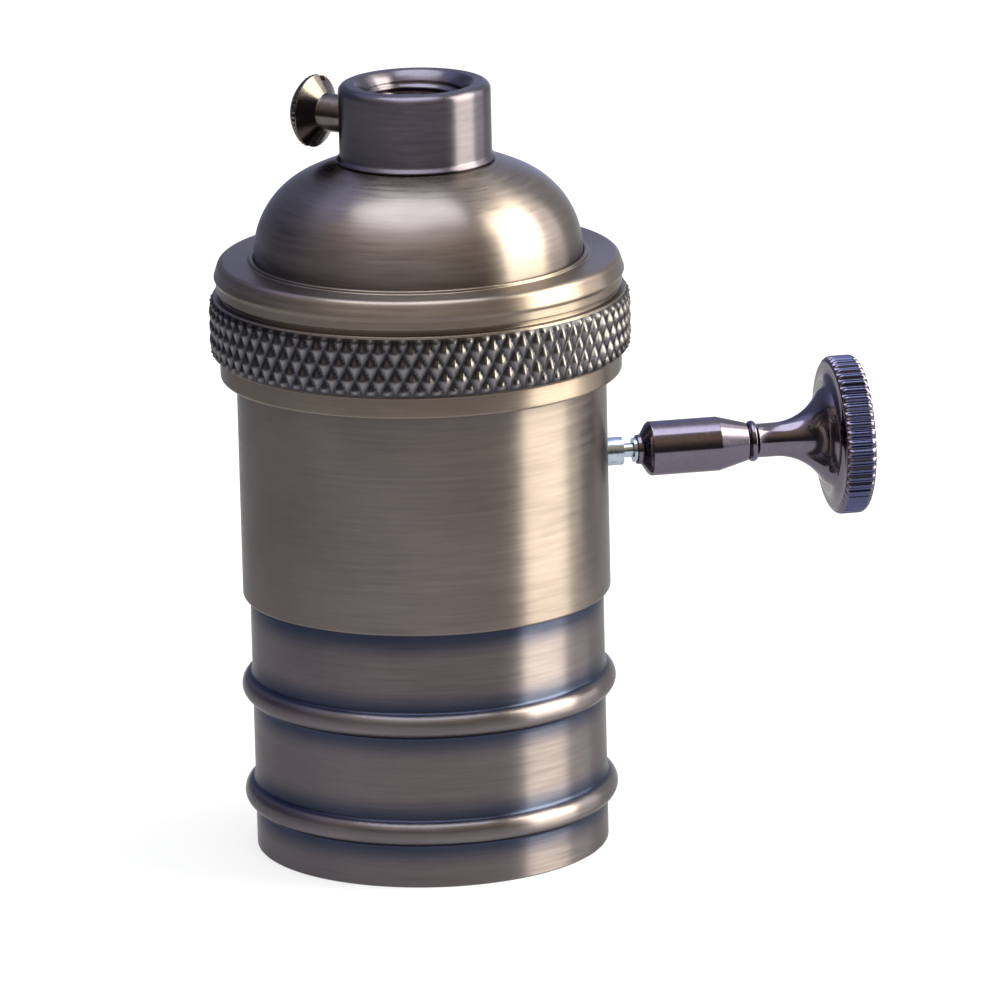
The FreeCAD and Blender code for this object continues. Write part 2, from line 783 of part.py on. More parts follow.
def make_screw_shell():
    """Shell rolled from thin sheet to the round E27 thread, helical, with a flared lip
    and a flange under the web. Inside and outside are one periodic surface each."""
    sheet_half = size("shell_sheet").value / 2
    pitch = size("thread_pitch").value
    crest = size("thread_crest_radius").value
    root_radius = size("thread_root_radius").value
    amplitude = (root_radius - crest) / 2
    mean = (root_radius + crest) / 2 + sheet_half
    bottom = size("shell_bottom").value
    top = size("web_bottom").value - sheet_half
    lip = size("shell_lip_radius").value
    hole = size("shell_hole_radius").value
    rows_per_turn = 6
    columns = 24
    rise = pitch / rows_per_turn
    lip_height = 1.2
    # A cubic surface pulls a wave in by this share of its height.
    pull = (2 + math.cos(2 * math.pi / rows_per_turn)) / 3
    pull *= (2 + math.cos(2 * math.pi / columns)) / 3
    rows = [(lip, bottom, 0, 0), (lip, bottom + 0.3, 0, 0.1),
            (mean + 0.5, bottom + 0.5 * lip_height, 0, 0.7)]
    start = bottom + lip_height
    count = int((top - 1.2 - start) / rise)
    for row in range(count + 1):
        fade = min(1.0, row / 3, (count - row) / 3)
        rows.append((mean, start + row * rise, fade, 0))
    rows += [(mean + 0.1, top - 0.6, 0, 0), (mean + 0.1, top, 0, 0.7)]
    rows += [(radius, top, 0, 1) for radius in (mean - 0.8, mean - 2.4, hole + 1, hole)]

    def surface(side):
        grid = []
        for column in range(columns):
            angle = 2 * math.pi * column / columns
            line = []
            for radius, height, fade, level in rows:
                wave = amplitude / pull * fade
                wave *= math.cos(2 * math.pi * height / pitch - angle)
                across = side * sheet_half * math.cos(level * math.pi / 2)
                up = side * sheet_half * math.sin(level * math.pi / 2)
                r = radius + wave + across
                line.append(FreeCAD.Vector(r * math.cos(angle), r * math.sin(angle),
                                           height + up))
            grid.append(line)
        knots_u = [float(i) for i in range(columns + 1)]
        spans = len(rows) - 3
        knots_v = [float(i) for i in range(spans + 1)]
        mults_v = [4] + [1] * (spans - 1) + [4]
        result = Part.BSplineSurface()
        result.buildFromPolesMultsKnots(
            grid, [1] * (columns + 1), mults_v, knots_u, knots_v, True, False, 3, 3)
        return result

    outer, inner = surface(1), surface(-1)
    faces = [outer.toShape(), inner.toShape()]
    for end in (0, len(rows) - 3):
        edges = [item.vIso(end).toShape() for item in (outer, inner)]
        faces.append(Part.makeRuledSurface(*edges))
    shell = Part.makeShell(faces)
    shell.sewShape()
    solid = Part.Solid(shell)
    if solid.Volume < 0:
        solid.reverse()
    place = size("shell_screw_place").value
    hole_radius = size("shell_screw_radius").value + size("fixing_clearance").value
    for side in (-1, 1):
        drill = Part.makeCylinder(hole_radius, 2, FreeCAD.Vector(0, side * place, top - 1))
        solid = solid.cut(drill)
    feature = doc.addObject("Part::Feature", "screw_shell")
    feature.Label = "screw_shell"
    feature.Shape = solid
    feature.Placement = FreeCAD.Placement()
    return feature


# ---------------------------------------------------------------- contacts and straps

def leaf_screw_place():
    """Y of the screw on the chamber's ledge."""
    return -size("chamber_back") + size("ledge_width") / 2 + 0.3


def live_rise():
    """Outer Y of the live strap's upright, by the chamber's back wall."""
    return -size("chamber_back") + size("strip_gap")


def neutral_rise():
    """Outer Y of the neutral strap's upright, in its pocket."""
    return size("pocket_near") + size("strip_gap") / 2 + size("strip_thickness")


def terminal_place():
    """Y of a terminal block's middle, from the axis."""
    return size("terminal_gap") / 2 + size("terminal_length") / 2


def make_centre_contact():
    """Sprung tongue riveted under the web; its low flat meets the lamp's contact."""
    web, thick = size("web_bottom"), size("strip_thickness")
    low = web - size("tongue_drop")
    near = size("rivet_place") - size("rivet_head_radius") - size("tongue_bend")
    far = size("rivet_place") + size("rivet_head_radius") + size("tongue_end")
    gap, miter = size("fixing_clearance"), thick / 2
    flat, bend = -size("tongue_flat_near"), -size("tongue_flat_far")
    tip, lift = bend - size("tongue_tip"), low + size("tongue_lift")
    return strip("centre_contact", [
        (far, web - thick), (far, web), (near, web), (flat, low), (bend, low),
        (tip, lift), (tip - thick * 0.75, lift - thick * 0.75),
        (bend - thick / 4, low - thick), (flat + miter, low - thick),
        (near + miter, web - thick)], size("tongue_width"),
        [(size("rivet_place"), size("rivet_radius") + gap, web, thick * 2)])


def make_contact_rivet():
    """Rivet through the web that joins the tongue to the fixed contact."""
    body = new_body("contact_rivet", y=size("rivet_place"))
    low = size("web_bottom") - size("strip_thickness")
    high = web_top() + size("strip_thickness")
    shank, head = size("rivet_radius"), size("rivet_head_radius")
    thick, rim = size("rivet_head_height"), size("rivet_head_rim")
    revolve(body, [
        (0, low - thick), (head - rim * 2, low - thick), (head, low - rim), (head, low),
        (shank, low), (shank, high), (head, high), (head, high + rim),
        (head - rim * 2, high + thick), (0, high + thick)])
    return body


def make_fixed_contact():
    """Folded strip from the rivet to the arm that the leaf closes on."""
    floor, thick = web_top(), size("strip_thickness")
    height = ledge_height() + thick
    front = size("chamber_front")
    back = size("rivet_place") - size("rivet_head_radius") - thick / 2
    arm = front - size("arm_length")
    gap = size("fixing_clearance")
    return strip("fixed_contact", [
        (back, floor), (front, floor), (front, height), (arm, height),
        (arm, height - thick),
        (front - thick, height - thick), (front - thick, floor + thick),
        (back, floor + thick)],
        size("strip_width"),
        [(size("rivet_place"), size("rivet_radius") + gap, floor + thick, thick * 2)])


def make_contact_leaf():
    """Sprung blade: screwed to the ledge, over the chamber and down to the contact."""
    ledge, thick, top = ledge_height(), size("strip_thickness"), leaf_top()
    back = live_rise()
    slope, bend = size("leaf_slope"), size("leaf_bend")
    rise_start = leaf_screw_place() + size("leaf_foot")
    front = size("chamber_front") - size("leaf_end")
    pad = front - size("leaf_pad")
    fall_start = pad - size("leaf_drop")
    contact = ledge + thick
    gap = size("fixing_clearance")
    return strip("contact_leaf", [
        (back, ledge), (rise_start, ledge), (rise_start + slope, top - thick),
        (fall_start, top - thick), (pad, contact), (front, contact),
        (front, contact + thick), (pad + bend, contact + thick), (fall_start + bend, top),
        (rise_start + slope - bend, top), (rise_start - bend, ledge + thick),
        (back, ledge + thick)], size("leaf_width"),
        [(leaf_screw_place(), size("small_screw_radius") + gap, contact, thick * 2)])


def make_live_strap():
    """Strip from the live terminal, through the cover, to the leaf's screw."""
    thick, back = size("strip_thickness"), live_rise()
    foot = ledge_height() + thick
    top = cover_top()
    end = -size("terminal_gap") / 2
    front = leaf_screw_place() + size("strap_foot")
    gap = size("fixing_clearance")
    return strip("live_strap", [
        (back, foot), (front, foot),
        (front, foot + thick), (back + thick, foot + thick),
        (back + thick, top), (end, top), (end, top + thick), (back, top + thick)],
        size("strip_width"),
        [(leaf_screw_place(), size("small_screw_radius") + gap, foot + thick, thick * 2),
         (-terminal_place(), size("rivet_radius") + gap, top + thick, thick * 2)])


def make_neutral_strap():
    """Strip from the neutral terminal down to the screw that holds the shell."""
    thick, rise = size("strip_thickness"), neutral_rise()
    floor, top = web_top(), cover_top()
    end = size("terminal_gap") / 2
    far = size("pocket_far") - size("strip_gap") * 2
    gap = size("fixing_clearance")
    return strip("neutral_strap", [
        (rise - thick, floor), (far, floor), (far, floor + thick), (rise, floor + thick),
        (rise, top + thick), (end, top + thick), (end, top), (rise - thick, top)],
        size("strip_width"),
        [(size("shell_screw_place"), size("shell_screw_radius") + gap, floor + thick,
          thick * 2),
         (terminal_place(), size("rivet_radius") + gap, top + thick, thick * 2)])


def make_terminal(label, side):
    """Pillar terminal: a block with a wire hole, a screw hole and a staked stem."""
    base = cover_top() + size("strip_thickness")
    body = new_body(label, y=terminal_place() * side, z=base)
    width, deep = size("terminal_width") / 2, size("terminal_length") / 2
    pad(body, "XY_Plane", size("terminal_height"),
        [box_loop(-width, -deep, width, deep)])
    pad(body, "XY_Plane", size("strip_thickness") + size("cover_thickness"),
        circles=[(0, 0, size("rivet_radius"))],
        offset=-(size("strip_thickness") + size("cover_thickness")))
    pocket(body, "YZ_Plane", size("terminal_width") + 1, symmetric=True,
           circles=[(0, size("wire_hole_height"), size("wire_hole_radius"))])
    gap = size("fixing_clearance")
    pocket(body, "XY_Plane", size("terminal_height") - size("wire_hole_height"),
           offset=size("terminal_height"),
           circles=[(0, 0, size("terminal_screw_radius") + gap)])
    return body


# ---------------------------------------------------------------- rotary switch

def make_switch_shaft():
    """Turned shaft along X: pivot, square for the rotor, journal, stud, waist, spigot."""
    body = new_body("switch_shaft", z=size("knob_height"))
    pivot_end = size("chamber_inner") + size("bearing_depth") - 0.3
    journal, stud = size("journal_radius"), size("stud_radius")
    cam_start, cam_end = cam_span()
    clip_start = clip_place()
    clip_end = clip_start + size("clip_thickness")
    groove, pivot = clip_groove(), size("pivot_radius")
    square = size("square_side") / 2
    shoulder = core_radius() - 0.6
    reach = size("stud_reach")
    waist_end = reach + size("waist_length")
    spigot = size("spigot_thread_radius")
    revolve(body, [
        (-pivot_end, 0), (waist_end + size("spigot_length"), 0),
        (waist_end + size("spigot_length"), spigot), (waist_end, spigot),
        (waist_end, size("waist_radius")), (reach, size("waist_radius")), (reach, stud),
        (shoulder, stud), (shoulder, journal), (clip_end, journal), (clip_end, groove),
        (clip_start, groove), (clip_start, journal), (cam_end, journal),
        (cam_end, square), (cam_start, square), (cam_start, pivot), (-pivot_end, pivot)],
        axis="H_Axis")
    pad(body, "YZ_Plane", cam_end - cam_start, offset=cam_start,
        loops=[box_loop(-square, -square, square, square)])
    return body


def cam_span():
    """Where the rotor starts and ends along the shaft."""
    return -size("cam_section") / 2, size("cam_section") * 1.5


def clip_place():
    """Inner face of the retaining clip, close to the chamber's outer wall."""
    return size("chamber_outer") - 0.3 - size("clip_thickness")


def clip_groove():
    """Radius of the shaft at the bottom of the clip's groove."""
    return size("journal_radius") - 0.4


def make_rotor_cam():
    """Insulating rotor: a contact lobe and a detent square on one square bore."""
    body = new_body("rotor_cam", z=size("knob_height"))
    start, end = cam_span()
    radius, section = size("cam_radius"), size("cam_section")
    lobe, flat = size("lobe_half_width"), size("square_half_width")
    lobe_height, flat_height = leg(radius, lobe), leg(radius, flat)
    hole = size("square_side") / 2 + size("fixing_clearance")
    bore = box_loop(-hole, -hole, hole, hole)
    pad(body, "YZ_Plane", section, offset=start, loops=[[
        (lobe, lobe_height), (-lobe, lobe_height, radius, 1),
        (-lobe, -lobe_height), (lobe, -lobe_height, radius, 1)], bore])
    pad(body, "YZ_Plane", section, offset=start + section, loops=[[
        (flat, flat_height), (flat_height, flat, radius, 1), (-flat_height, flat),
        (-flat, flat_height, radius, 1), (-flat, -flat_height),
        (-flat_height, -flat, radius, 1), (flat_height, -flat),
        (flat, -flat_height, radius, 1)], bore])
    return body


def make_shaft_clip():
    """Retaining clip in the shaft's groove, open on one side."""
    body = new_body("shaft_clip", z=size("knob_height"))
    groove = clip_groove() + 0.02
    pad(body, "YZ_Plane", size("clip_thickness"), offset=clip_place(),
        circles=[(0, 0, size("clip_radius")), (0, 0, groove)])
    pocket(body, "YZ_Plane", size("clip_thickness") + 1,
           offset=clip_place() + size("clip_thickness"),
           loops=[box_loop(-groove * 0.8, -size("clip_radius") * 1.2,
                           groove * 0.8, -groove * 0.5)])
    return body


def make_detent_spring():
    """Bowed leaf under the cover that the rotor's detent square lifts."""
    thick, bow, top = size("detent_thickness"), size("detent_bow"), core_top()
    reach = size("chamber_front") - 0.3
    body = new_body("detent_spring", x=size("cam_section"))
    pad(body, "YZ_Plane", size("cam_section") - 0.4, symmetric=True, loops=[[
        (-reach, top), (-reach, top - thick), (-2.5, top - thick - bow),
        (2.5, top - thick - bow), (reach, top - thick), (reach, top),
        (2.5, top - bow), (-2.5, top - bow)]])
    return body


def make_knob():
    """Turned knob: nose, barrel, cone, bead, waist and a flare into a toothed disc."""
    blank = new_body("knob_blank", z=size("knob_height"))
    start, barrel = size("knob_start"), size("barrel_radius")
    waist, flare = size("knob_waist_radius"), size("flare_radius")
    flare_top = waist + flare - leg(flare, size("flare_length"))
    disc, rounding = size("disc_radius"), size("disc_chamfer")
    face = size("disc_start")
    end = face + size("disc_thickness")
    bead_start = size("cone_end") + 0.25
    bead_end = bead_start + size("knob_bead_length")
    nose_end = start + size("nose_length")
    spigot = size("spigot_thread_radius") + size("knob_fit")
    depth = size("stud_reach") + size("waist_length") + size("spigot_length") + 0.3
    revolve(blank, [
        (start, spigot), (depth, spigot), (depth, 0), (end, 0), (end, disc - rounding),
        (end - rounding, disc), (face + rounding, disc), (face, disc - rounding),
        (size("flare_start") + size("flare_length"), flare_top),
        (size("flare_start"), waist, flare, -1), (bead_end + 0.2, waist),
        (bead_end, waist + 0.08), (bead_start, waist + 0.12,
                                   size("knob_bead_radius"), 1),
        (size("cone_end"), size("cone_radius")), (size("barrel_end"), barrel),
        (nose_end, barrel), (start, size("nose_radius"), size("nose_length") * 1.3, 1)],
        axis="H_Axis")
    gaps = doc.addObject("Part::Feature", "knob_tooth_gaps")
    gaps.Shape = tooth_gaps(disc.value, size("tooth_depth").value,
                            int(size("tooth_count").value), face.value, end.value)
    gaps.setExpression("Placement.Base.z", "Sizes.knob_height")
    knob = doc.addObject("Part::Cut", "knob")
    knob.Label = "knob"
    knob.Base = blank
    knob.Tool = gaps
    return knob


def tooth_gaps(radius, depth, count, start, end):
    """Ring round the X axis whose inside is the zigzag of the knob's teeth."""
    land = 0.28
    step = 2 * math.pi / count
    corners = []
    for index in range(count):
        middle = index * step
        for turn, r in ((-0.5 * land, radius), (0.5 * land, radius), (0.5, radius - depth)):
            angle = middle + turn * step
            r = r + 0.02 if r == radius else r
            corners.append(FreeCAD.Vector(start - 0.1, r * math.cos(angle),
                                          r * math.sin(angle)))
    inside = Part.makePolygon(corners + corners[:1])
    outside = Part.Wire(Part.makeCircle(radius + 1, FreeCAD.Vector(start - 0.1, 0, 0),
                                        FreeCAD.Vector(1, 0, 0)))
    ring = Part.makeFace([outside, inside], "Part::FaceMakerBullseye")
    return ring.extrude(FreeCAD.Vector(end - start + 0.2, 0, 0))


# ---------------------------------------------------------------- fixings

def make_fixings():
    """The small screws that hold the leaf, the shell, the cover and the wires."""
    small = size("small_screw_radius")
    thick = size("strip_thickness")
    parts = [slotted_screw(
        "leaf_screw", small, size("leaf_screw_length"), size("leaf_head_radius"),
        size("leaf_head_height"), y=leaf_screw_place(), z=ledge_height() + thick * 2)]
    flange = size("web_bottom") - size("shell_sheet")
    shank = size("web_thickness") + size("shell_sheet") + thick
    for label, side in (("shell_screw_left", -1), ("shell_screw_right", 1)):
        parts.append(slotted_screw(
            label, size("shell_screw_radius"), shank, size("shell_head_radius"),
            size("shell_head_height"),
            y=size("shell_screw_place") * side, z=flange, roll=180))
    for label, side in (("cover_screw_left", -1), ("cover_screw_right", 1)):
        x, y = screw_spot(side)
        parts.append(slotted_screw(
            label, small, size("cover_screw_length"), size("cover_head_radius"),
            size("cover_head_height"), x=x, y=y, z=cover_top()))
    block_top = cover_top() + thick + size("terminal_height")
    for label, side in (("live_screw", -1), ("neutral_screw", 1)):
        parts.append(slotted_screw(
            label, size("terminal_screw_radius"), size("terminal_screw_length"),
            size("terminal_head_radius"), size("terminal_head_height"),
            y=terminal_place() * side, z=block_top + size("terminal_head_gap")))
    return parts


def check(items):
    """Stop on any failed object, and on any sub-part without one sound solid."""
    for item in doc.Objects:
        if "Invalid" in item.State or "Error" in item.State:
            raise RuntimeError("%s failed: %s" % (item.Label, item.State))
    for item in items:
        shape = item.Shape
        if shape.isNull() or not shape.isValid() or len(shape.Solids) != 1:
            raise RuntimeError("%s has no sound solid" % item.Label)


doc = FreeCAD.newDocument("LampHolder")

sheet = doc.addObject("Spreadsheet::Sheet", "Sizes")
for row, (name, number) in enumerate(SIZES.items(), start=1):
    sheet.set("A%d" % row, name)
    sheet.set("B%d" % row, str(number))
    sheet.setAlias("B%d" % row, name)
doc.recompute()

parts = [
    make_body_tube(), make_lower_sleeve(), make_clamp_ring(), make_dome_cap(),
    make_neck(), make_set_screw(), make_porcelain_core(), make_core_cover(),
    make_screw_shell(), make_centre_contact(), make_contact_rivet(),
    make_fixed_contact(), make_contact_leaf(), make_live_strap(), make_neutral_strap(),
    make_terminal("live_terminal", -1), make_terminal("neutral_terminal", 1),
    make_switch_shaft(), make_rotor_cam(), make_shaft_clip(), make_detent_spring(),
    make_knob()]
parts += make_fixings()
doc.recompute()
check(parts)
os.makedirs("parts", exist_ok=True)
for part in parts:
    part.Shape.exportStep("parts/%s.step" % part.Label)
    box = part.Shape.BoundBox
    print("%-18s volume %9.1f  x %6.2f..%6.2f  y %6.2f..%6.2f  z %6.2f..%6.2f" % (
        part.Label, part.Shape.Volume, box.XMin, box.XMax, box.YMin, box.YMax,
        box.ZMin, box.ZMax))
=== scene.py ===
import json
import math

import bmesh
import bpy
from mathutils import Matrix, Vector


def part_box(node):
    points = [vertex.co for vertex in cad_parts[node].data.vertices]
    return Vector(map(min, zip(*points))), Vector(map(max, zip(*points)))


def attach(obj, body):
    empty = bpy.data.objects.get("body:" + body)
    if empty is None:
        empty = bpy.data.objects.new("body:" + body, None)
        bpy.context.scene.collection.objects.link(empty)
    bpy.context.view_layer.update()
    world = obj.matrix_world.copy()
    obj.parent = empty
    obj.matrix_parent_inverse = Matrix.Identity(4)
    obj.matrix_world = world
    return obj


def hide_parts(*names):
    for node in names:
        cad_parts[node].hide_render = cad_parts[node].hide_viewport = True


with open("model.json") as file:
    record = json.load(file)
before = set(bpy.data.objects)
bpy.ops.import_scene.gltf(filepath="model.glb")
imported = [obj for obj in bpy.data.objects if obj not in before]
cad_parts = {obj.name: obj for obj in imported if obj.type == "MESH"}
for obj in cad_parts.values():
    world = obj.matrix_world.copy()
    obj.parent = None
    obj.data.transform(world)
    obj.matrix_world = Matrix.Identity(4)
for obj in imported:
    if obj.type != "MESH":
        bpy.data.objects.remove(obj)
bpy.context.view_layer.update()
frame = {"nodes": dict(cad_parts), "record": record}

MM = 0.001

# Sizes of the visible pieces in millimetres and degrees. Places come from the frame's
# boxes.
WALL_BODY = 0.7
WALL_SLEEVE = 0.5
WALL_DOME = 0.9
HEAD_BOTTOM = 52.0
BEAD_HEIGHTS = (5.95, 17.64)
BEAD_RADIUS = 1.35
BEAD_RISE = 1.12
BEAD_ROOT = 0.45
FIT = 0.05
HEAD_THREAD_PITCH = 1.0
HEAD_THREAD_DEPTH = 0.35
HEAD_RUNOUT = 0.3
HEAD_CHAMFER = 0.25
SHAFT_HOLE = 1.85

RING_BAND_RADIUS = 21.15
RING_BAND_HEIGHT = 2.2
RING_CHAMFER = 0.4
RING_GROOVE_RADIUS = 20.95
RING_GROOVE_HEIGHT = 0.55
RING_SIDE_RADIUS = 21.35
RING_CROWN_RADIUS = 21.6
RING_CROWN_ROUND = 1.25
RING_CROWN_RIM = 0.9
RING_CROWN_STEP = 0.4
RING_CROWN_LEAN = 0.15
RING_CROWN_IN = 0.55
RING_LIP_THICKNESS = 0.8
RING_LIP_CLEARANCE = 0.1
RING_COLLAR_WIDTH = 0.5
RING_COLLAR_HEIGHT = 0.35
KNURL_STEP = 0.6
KNURL_HEIGHT = 6.0
KNURL_DEPTH = 0.45
KNURL_DIAMONDS = 80
KNURL_ROWS = 2
KNURL_STEPS = 8
KNURL_RUNOUT = 0.3
KNURL_BED = 0.05
KNURL_LIP = 0.06
# Share of a diamond that its flank takes, and share of a row in which the knurl rises.
KNURL_FLANK = 0.9
KNURL_FADE = 0.06

DOME_STRAIGHT = 0.5
DOME_RADIUS = 17.3
SHOULDER_RADIUS = 9.25
CROWN_RADIUS = 28.1
FLANGE_THICKNESS = 0.9

NECK_RADIUS = 8.0
NECK_HEIGHT = 8.3
NECK_BORE = 5.0
NECK_MOUTH = 6.25
NECK_MOUTH_DEPTH = 0.85
NECK_ROUND = 0.9
NECK_FOOT = 0.35
# Heights over the neck's seat of its undercut, and of its foot's bottom, top and sweep.
NECK_FOOT_HEIGHTS = (0.18, 0.2, 0.34, 0.75)
NECK_THREAD_PITCH = 1.0
NECK_THREAD_DEPTH = 0.5
NECK_THREAD_SLOPE = 2.4
NECK_THREAD_START = 0.8
SPIGOT_RADIUS = 6.2
STAKE_RIM = 1.2
STAKE_THICKNESS = 0.8

SET_SCREW_AZIMUTH = 135.0
SET_SCREW_TURN = 17.5
SET_SCREW_HEIGHT = 3.95
SET_SCREW_HOLE = 2.05
SET_SHANK = 2.0
SET_TIP = 5.2
SET_RIM_PLACE = 12.55
SET_RIM = 0.4
SET_HEAD_RADIUS = 3.85
SET_HEAD_RISE = 1.9
SET_HEAD_CONE = 1.3
SET_SLOT_WIDTH = 0.9
SET_SLOT_DEPTH = 2.7
SET_KNURLS = 44
SET_KNURL_DEPTH = 0.09

KNOB_HEIGHT = 40.9
KNOB_START = 22.95
KNOB_SPIGOT = 1.35
KNOB_HOLE_END = 29.7
NOSE_RADIUS = 1.55
NOSE_LENGTH = 1.45
NOSE_STRAIGHT = 0.5
NOSE_DRAFT = 0.05
NOSE_SWEEP = 0.8
BARREL_SHOULDER = 0.25
BARREL_RADIUS = 2.9
BARREL_END = 31.8
CONE_RADIUS = 2.05
CONE_END = 34.9
KNOB_BEAD_RADIUS = 0.46
KNOB_BEAD_LENGTH = 0.84
KNOB_WAIST = 1.82
BEAD_GAP = 0.25
BEAD_FOOT = 0.1
FLARE_START = 38.0
FLARE_RADIUS = 5.9
FLARE_LENGTH = 5.15
DISC_START = 44.05
DISC_THICKNESS = 3.3
DISC_RADIUS = 8.45
DISC_ROUND = 0.75
DISC_BOSS = 0.5
DISC_BOSS_HEIGHT = 0.2
TEETH = 52
TOOTH_DEPTH = 0.30
# Share of the rim's round that stays plain, and a gap's width and flank as shares of a tooth.
TOOTH_START = 0.55
TOOTH_GAP = 0.72
TOOTH_FLANK = 0.55

# Offset in radius that tells a threaded or knurled outline point from a plain one.
MARK = 0.001
# A rounded outline's points beside a round: how far, and as a share of the flat.
HOLD = 0.06
HOLD_SHARE = 0.02
# Most of a flat that the round at one of its ends may take.
ROUND_SHARE = 0.48

# Camera: metres away, lens in millimetres, its pitch, roll and turn about the holder in
# degrees, and how far its aim lies to the right and up in its picture, in metres.
CAMERA_DISTANCE = 0.96069
CAMERA_LENS = 323.5
CAMERA_PITCH = 14.784
CAMERA_ROLL = 1.338
CAMERA_TURN = 11.4
CAMERA_AIM = (0.00718, 0.03581)


def new_object(name, data):
    """An object of the scene that holds a mesh, a light or a camera."""
    thing = bpy.data.objects.new(name, data)
    bpy.context.scene.collection.objects.link(thing)
    return thing


# ------------------------------------------------------------------ turned meshes

def rounded(corners, steps=5):
    """Open outline through corners of (across, along) or (across, along, radius), with
    the second kind rounded. A point on each side of a round keeps the flats flat."""
    points = []
    for index, corner in enumerate(corners):
        here = Vector(corner[:2])
        if len(corner) == 2 or index in (0, len(corners) - 1):
            points.append(tuple(here))
            continue
        radius = corner[2]
        back = Vector(corners[index - 1][:2]) - here
        on = Vector(corners[index + 1][:2]) - here
        half = back.angle(on) / 2
        reach = min(radius / math.tan(half), back.length * ROUND_SHARE,
                    on.length * ROUND_SHARE)
        radius = reach * math.tan(half)
        centre = here + (back.normalized() + on.normalized()).normalized() * (
            radius / math.sin(half))
        start, end = here + back.normalized() * reach, here + on.normalized() * reach
        first, last = start - centre, end - centre
        sweep = first.angle_signed(last)
        hold = min(HOLD, reach)
        points.append(tuple(start + back.normalized() * min(hold, back.length * HOLD_SHARE)))
        for step in range(steps + 1):
            turn = Matrix.Rotation(-sweep * step / steps, 2)
            points.append(tuple(centre + turn @ first))
        points.append(tuple(end + on.normalized() * min(hold, on.length * HOLD_SHARE)))
    return points


def arc(centre, radius, start, end, steps):
    """Points along an arc from one angle to another, in degrees."""
    angles = [math.radians(start + (end - start) * i / steps) for i in range(steps + 1)]
    return [(centre[0] + radius * math.cos(a), centre[1] + radius * math.sin(a))
            for a in angles]


def turned(name, outline, around=256, relief=None):
    """Closed solid spun about Z from a closed outline of (radius, height) millimetres.
    relief(radius, height, turn) gives a point's own radius, turn from 0 to 1."""
    mesh = bpy.data.meshes.new(name)
    build = bmesh.new()
    rows = []
    for radius, height in outline:
        if radius < 1e-6:
            rows.append([build.verts.new((0, 0, height * MM))])
            continue
        row = []
        for index in range(around):
            turn = index / around
            angle = 2 * math.pi * turn
            own = relief(radius, height, turn) if relief else radius
            row.append(build.verts.new((own * math.cos(angle) * MM,
                                        own * math.sin(angle) * MM, height * MM)))
        rows.append(row)
    for index, row in enumerate(rows):
        after = rows[(index + 1) % len(rows)]
        if len(row) == 1 and len(after) == 1:
            continue
        for step in range(around):
            on = (step + 1) % around
            corners = [row[step % len(row)], row[on % len(row)],
                       after[on % len(after)], after[step % len(after)]]
            build.faces.new(list(dict.fromkeys(corners)))
    bmesh.ops.recalc_face_normals(build, faces=build.faces)
    for face in build.faces:
        face.smooth = True
    build.to_mesh(mesh)
    build.free()
    piece = new_object(name, mesh)
    return piece


def lay_along_x(piece, height):
    """Turn a piece spun about Z so that it lies along X at a height."""
    piece.data.transform(Matrix.Translation((0, 0, height * MM))
                         @ Matrix.Rotation(math.pi / 2, 4, "Y"))


def cut(piece, tool):
    """Take the tool away from the piece and delete the tool."""
    modifier = piece.modifiers.new("cut", "BOOLEAN")
    modifier.operation = "DIFFERENCE"
    modifier.solver = "EXACT"
    modifier.object = tool
    bpy.context.view_layer.update()
    graph = bpy.context.evaluated_depsgraph_get()
    mesh = bpy.data.meshes.new_from_object(piece.evaluated_get(graph))
    piece.modifiers.remove(modifier)
    piece.data = mesh
    bpy.data.objects.remove(tool)


def finish_piece(piece, body, nodes, material):
    """Give a piece its finish and its body, and hide the CAD nodes that it stands for."""
    piece.data.materials.clear()
    piece.data.materials.append(material)
    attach(piece, body)
    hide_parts(*nodes)


def low(node):
    """Lowest corner of a CAD node, in millimetres."""
    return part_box(node)[0] / MM


def high(node):
    """Highest corner of a CAD node, in millimetres."""
    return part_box(node)[1] / MM


# ------------------------------------------------------------------ the outer pieces

def make_body_tube():
    """Outer tube with a threaded head and the hole for the switch's shaft."""
    bottom, top = low("body_tube").z, high("body_tube").z
    head = high("body_tube").y
    inner = sleeve_wall_radius() + FIT
    outer = inner + WALL_BODY
    start, length = HEAD_BOTTOM + HEAD_RUNOUT, top - HEAD_BOTTOM - 2 * HEAD_RUNOUT
    rows = 4 * int((top - HEAD_BOTTOM) / HEAD_THREAD_PITCH)
    thread = [(head, start + length * i / rows) for i in range(rows + 1)]
    outline = rounded([
        (inner, top), (inner, bottom, 0.12), (outer, bottom, 0.3),
        (outer, HEAD_BOTTOM, 0.15), (head, HEAD_BOTTOM, 0.2), (head, start)])
    outline += thread[1:] + [(head - HEAD_CHAMFER, top)]

    def thread_relief(radius, height, turn):
        if radius < head - 0.01 or not start < height < top - HEAD_RUNOUT:
            return radius
        wave = math.cos(2 * math.pi * (height / HEAD_THREAD_PITCH - turn))
        return radius - HEAD_THREAD_DEPTH * (0.5 - 0.5 * wave)

    piece = turned("tube_of_body", outline, relief=thread_relief)
    hole = turned("hole", [(0, 10), (SHAFT_HOLE, 10), (SHAFT_HOLE, 30), (0, 30)], around=48)
    lay_along_x(hole, KNOB_HEIGHT)
    cut(piece, hole)
    return piece


def sleeve_wall_radius():
    """Outer radius of the sleeve's plain wall."""
    return high("lower_sleeve").y - BEAD_RISE


def bead_outline(wall, radius, root, centre, middle):
    """One rolled bead, upwards: a root fillet, the round crest and a root fillet."""
    swing = math.degrees(math.acos((wall + root - centre) / (radius + root)))
    half = (radius + root) * math.sin(math.radians(swing))
    foot = arc((wall + root, middle - half), root, 180, 180 - swing, 4)
    crest = arc((centre, middle), radius, -swing, swing, 20)
    head = arc((wall + root, middle + half), root, 180 + swing, 180, 4)
    return foot + crest[1:-1] + head


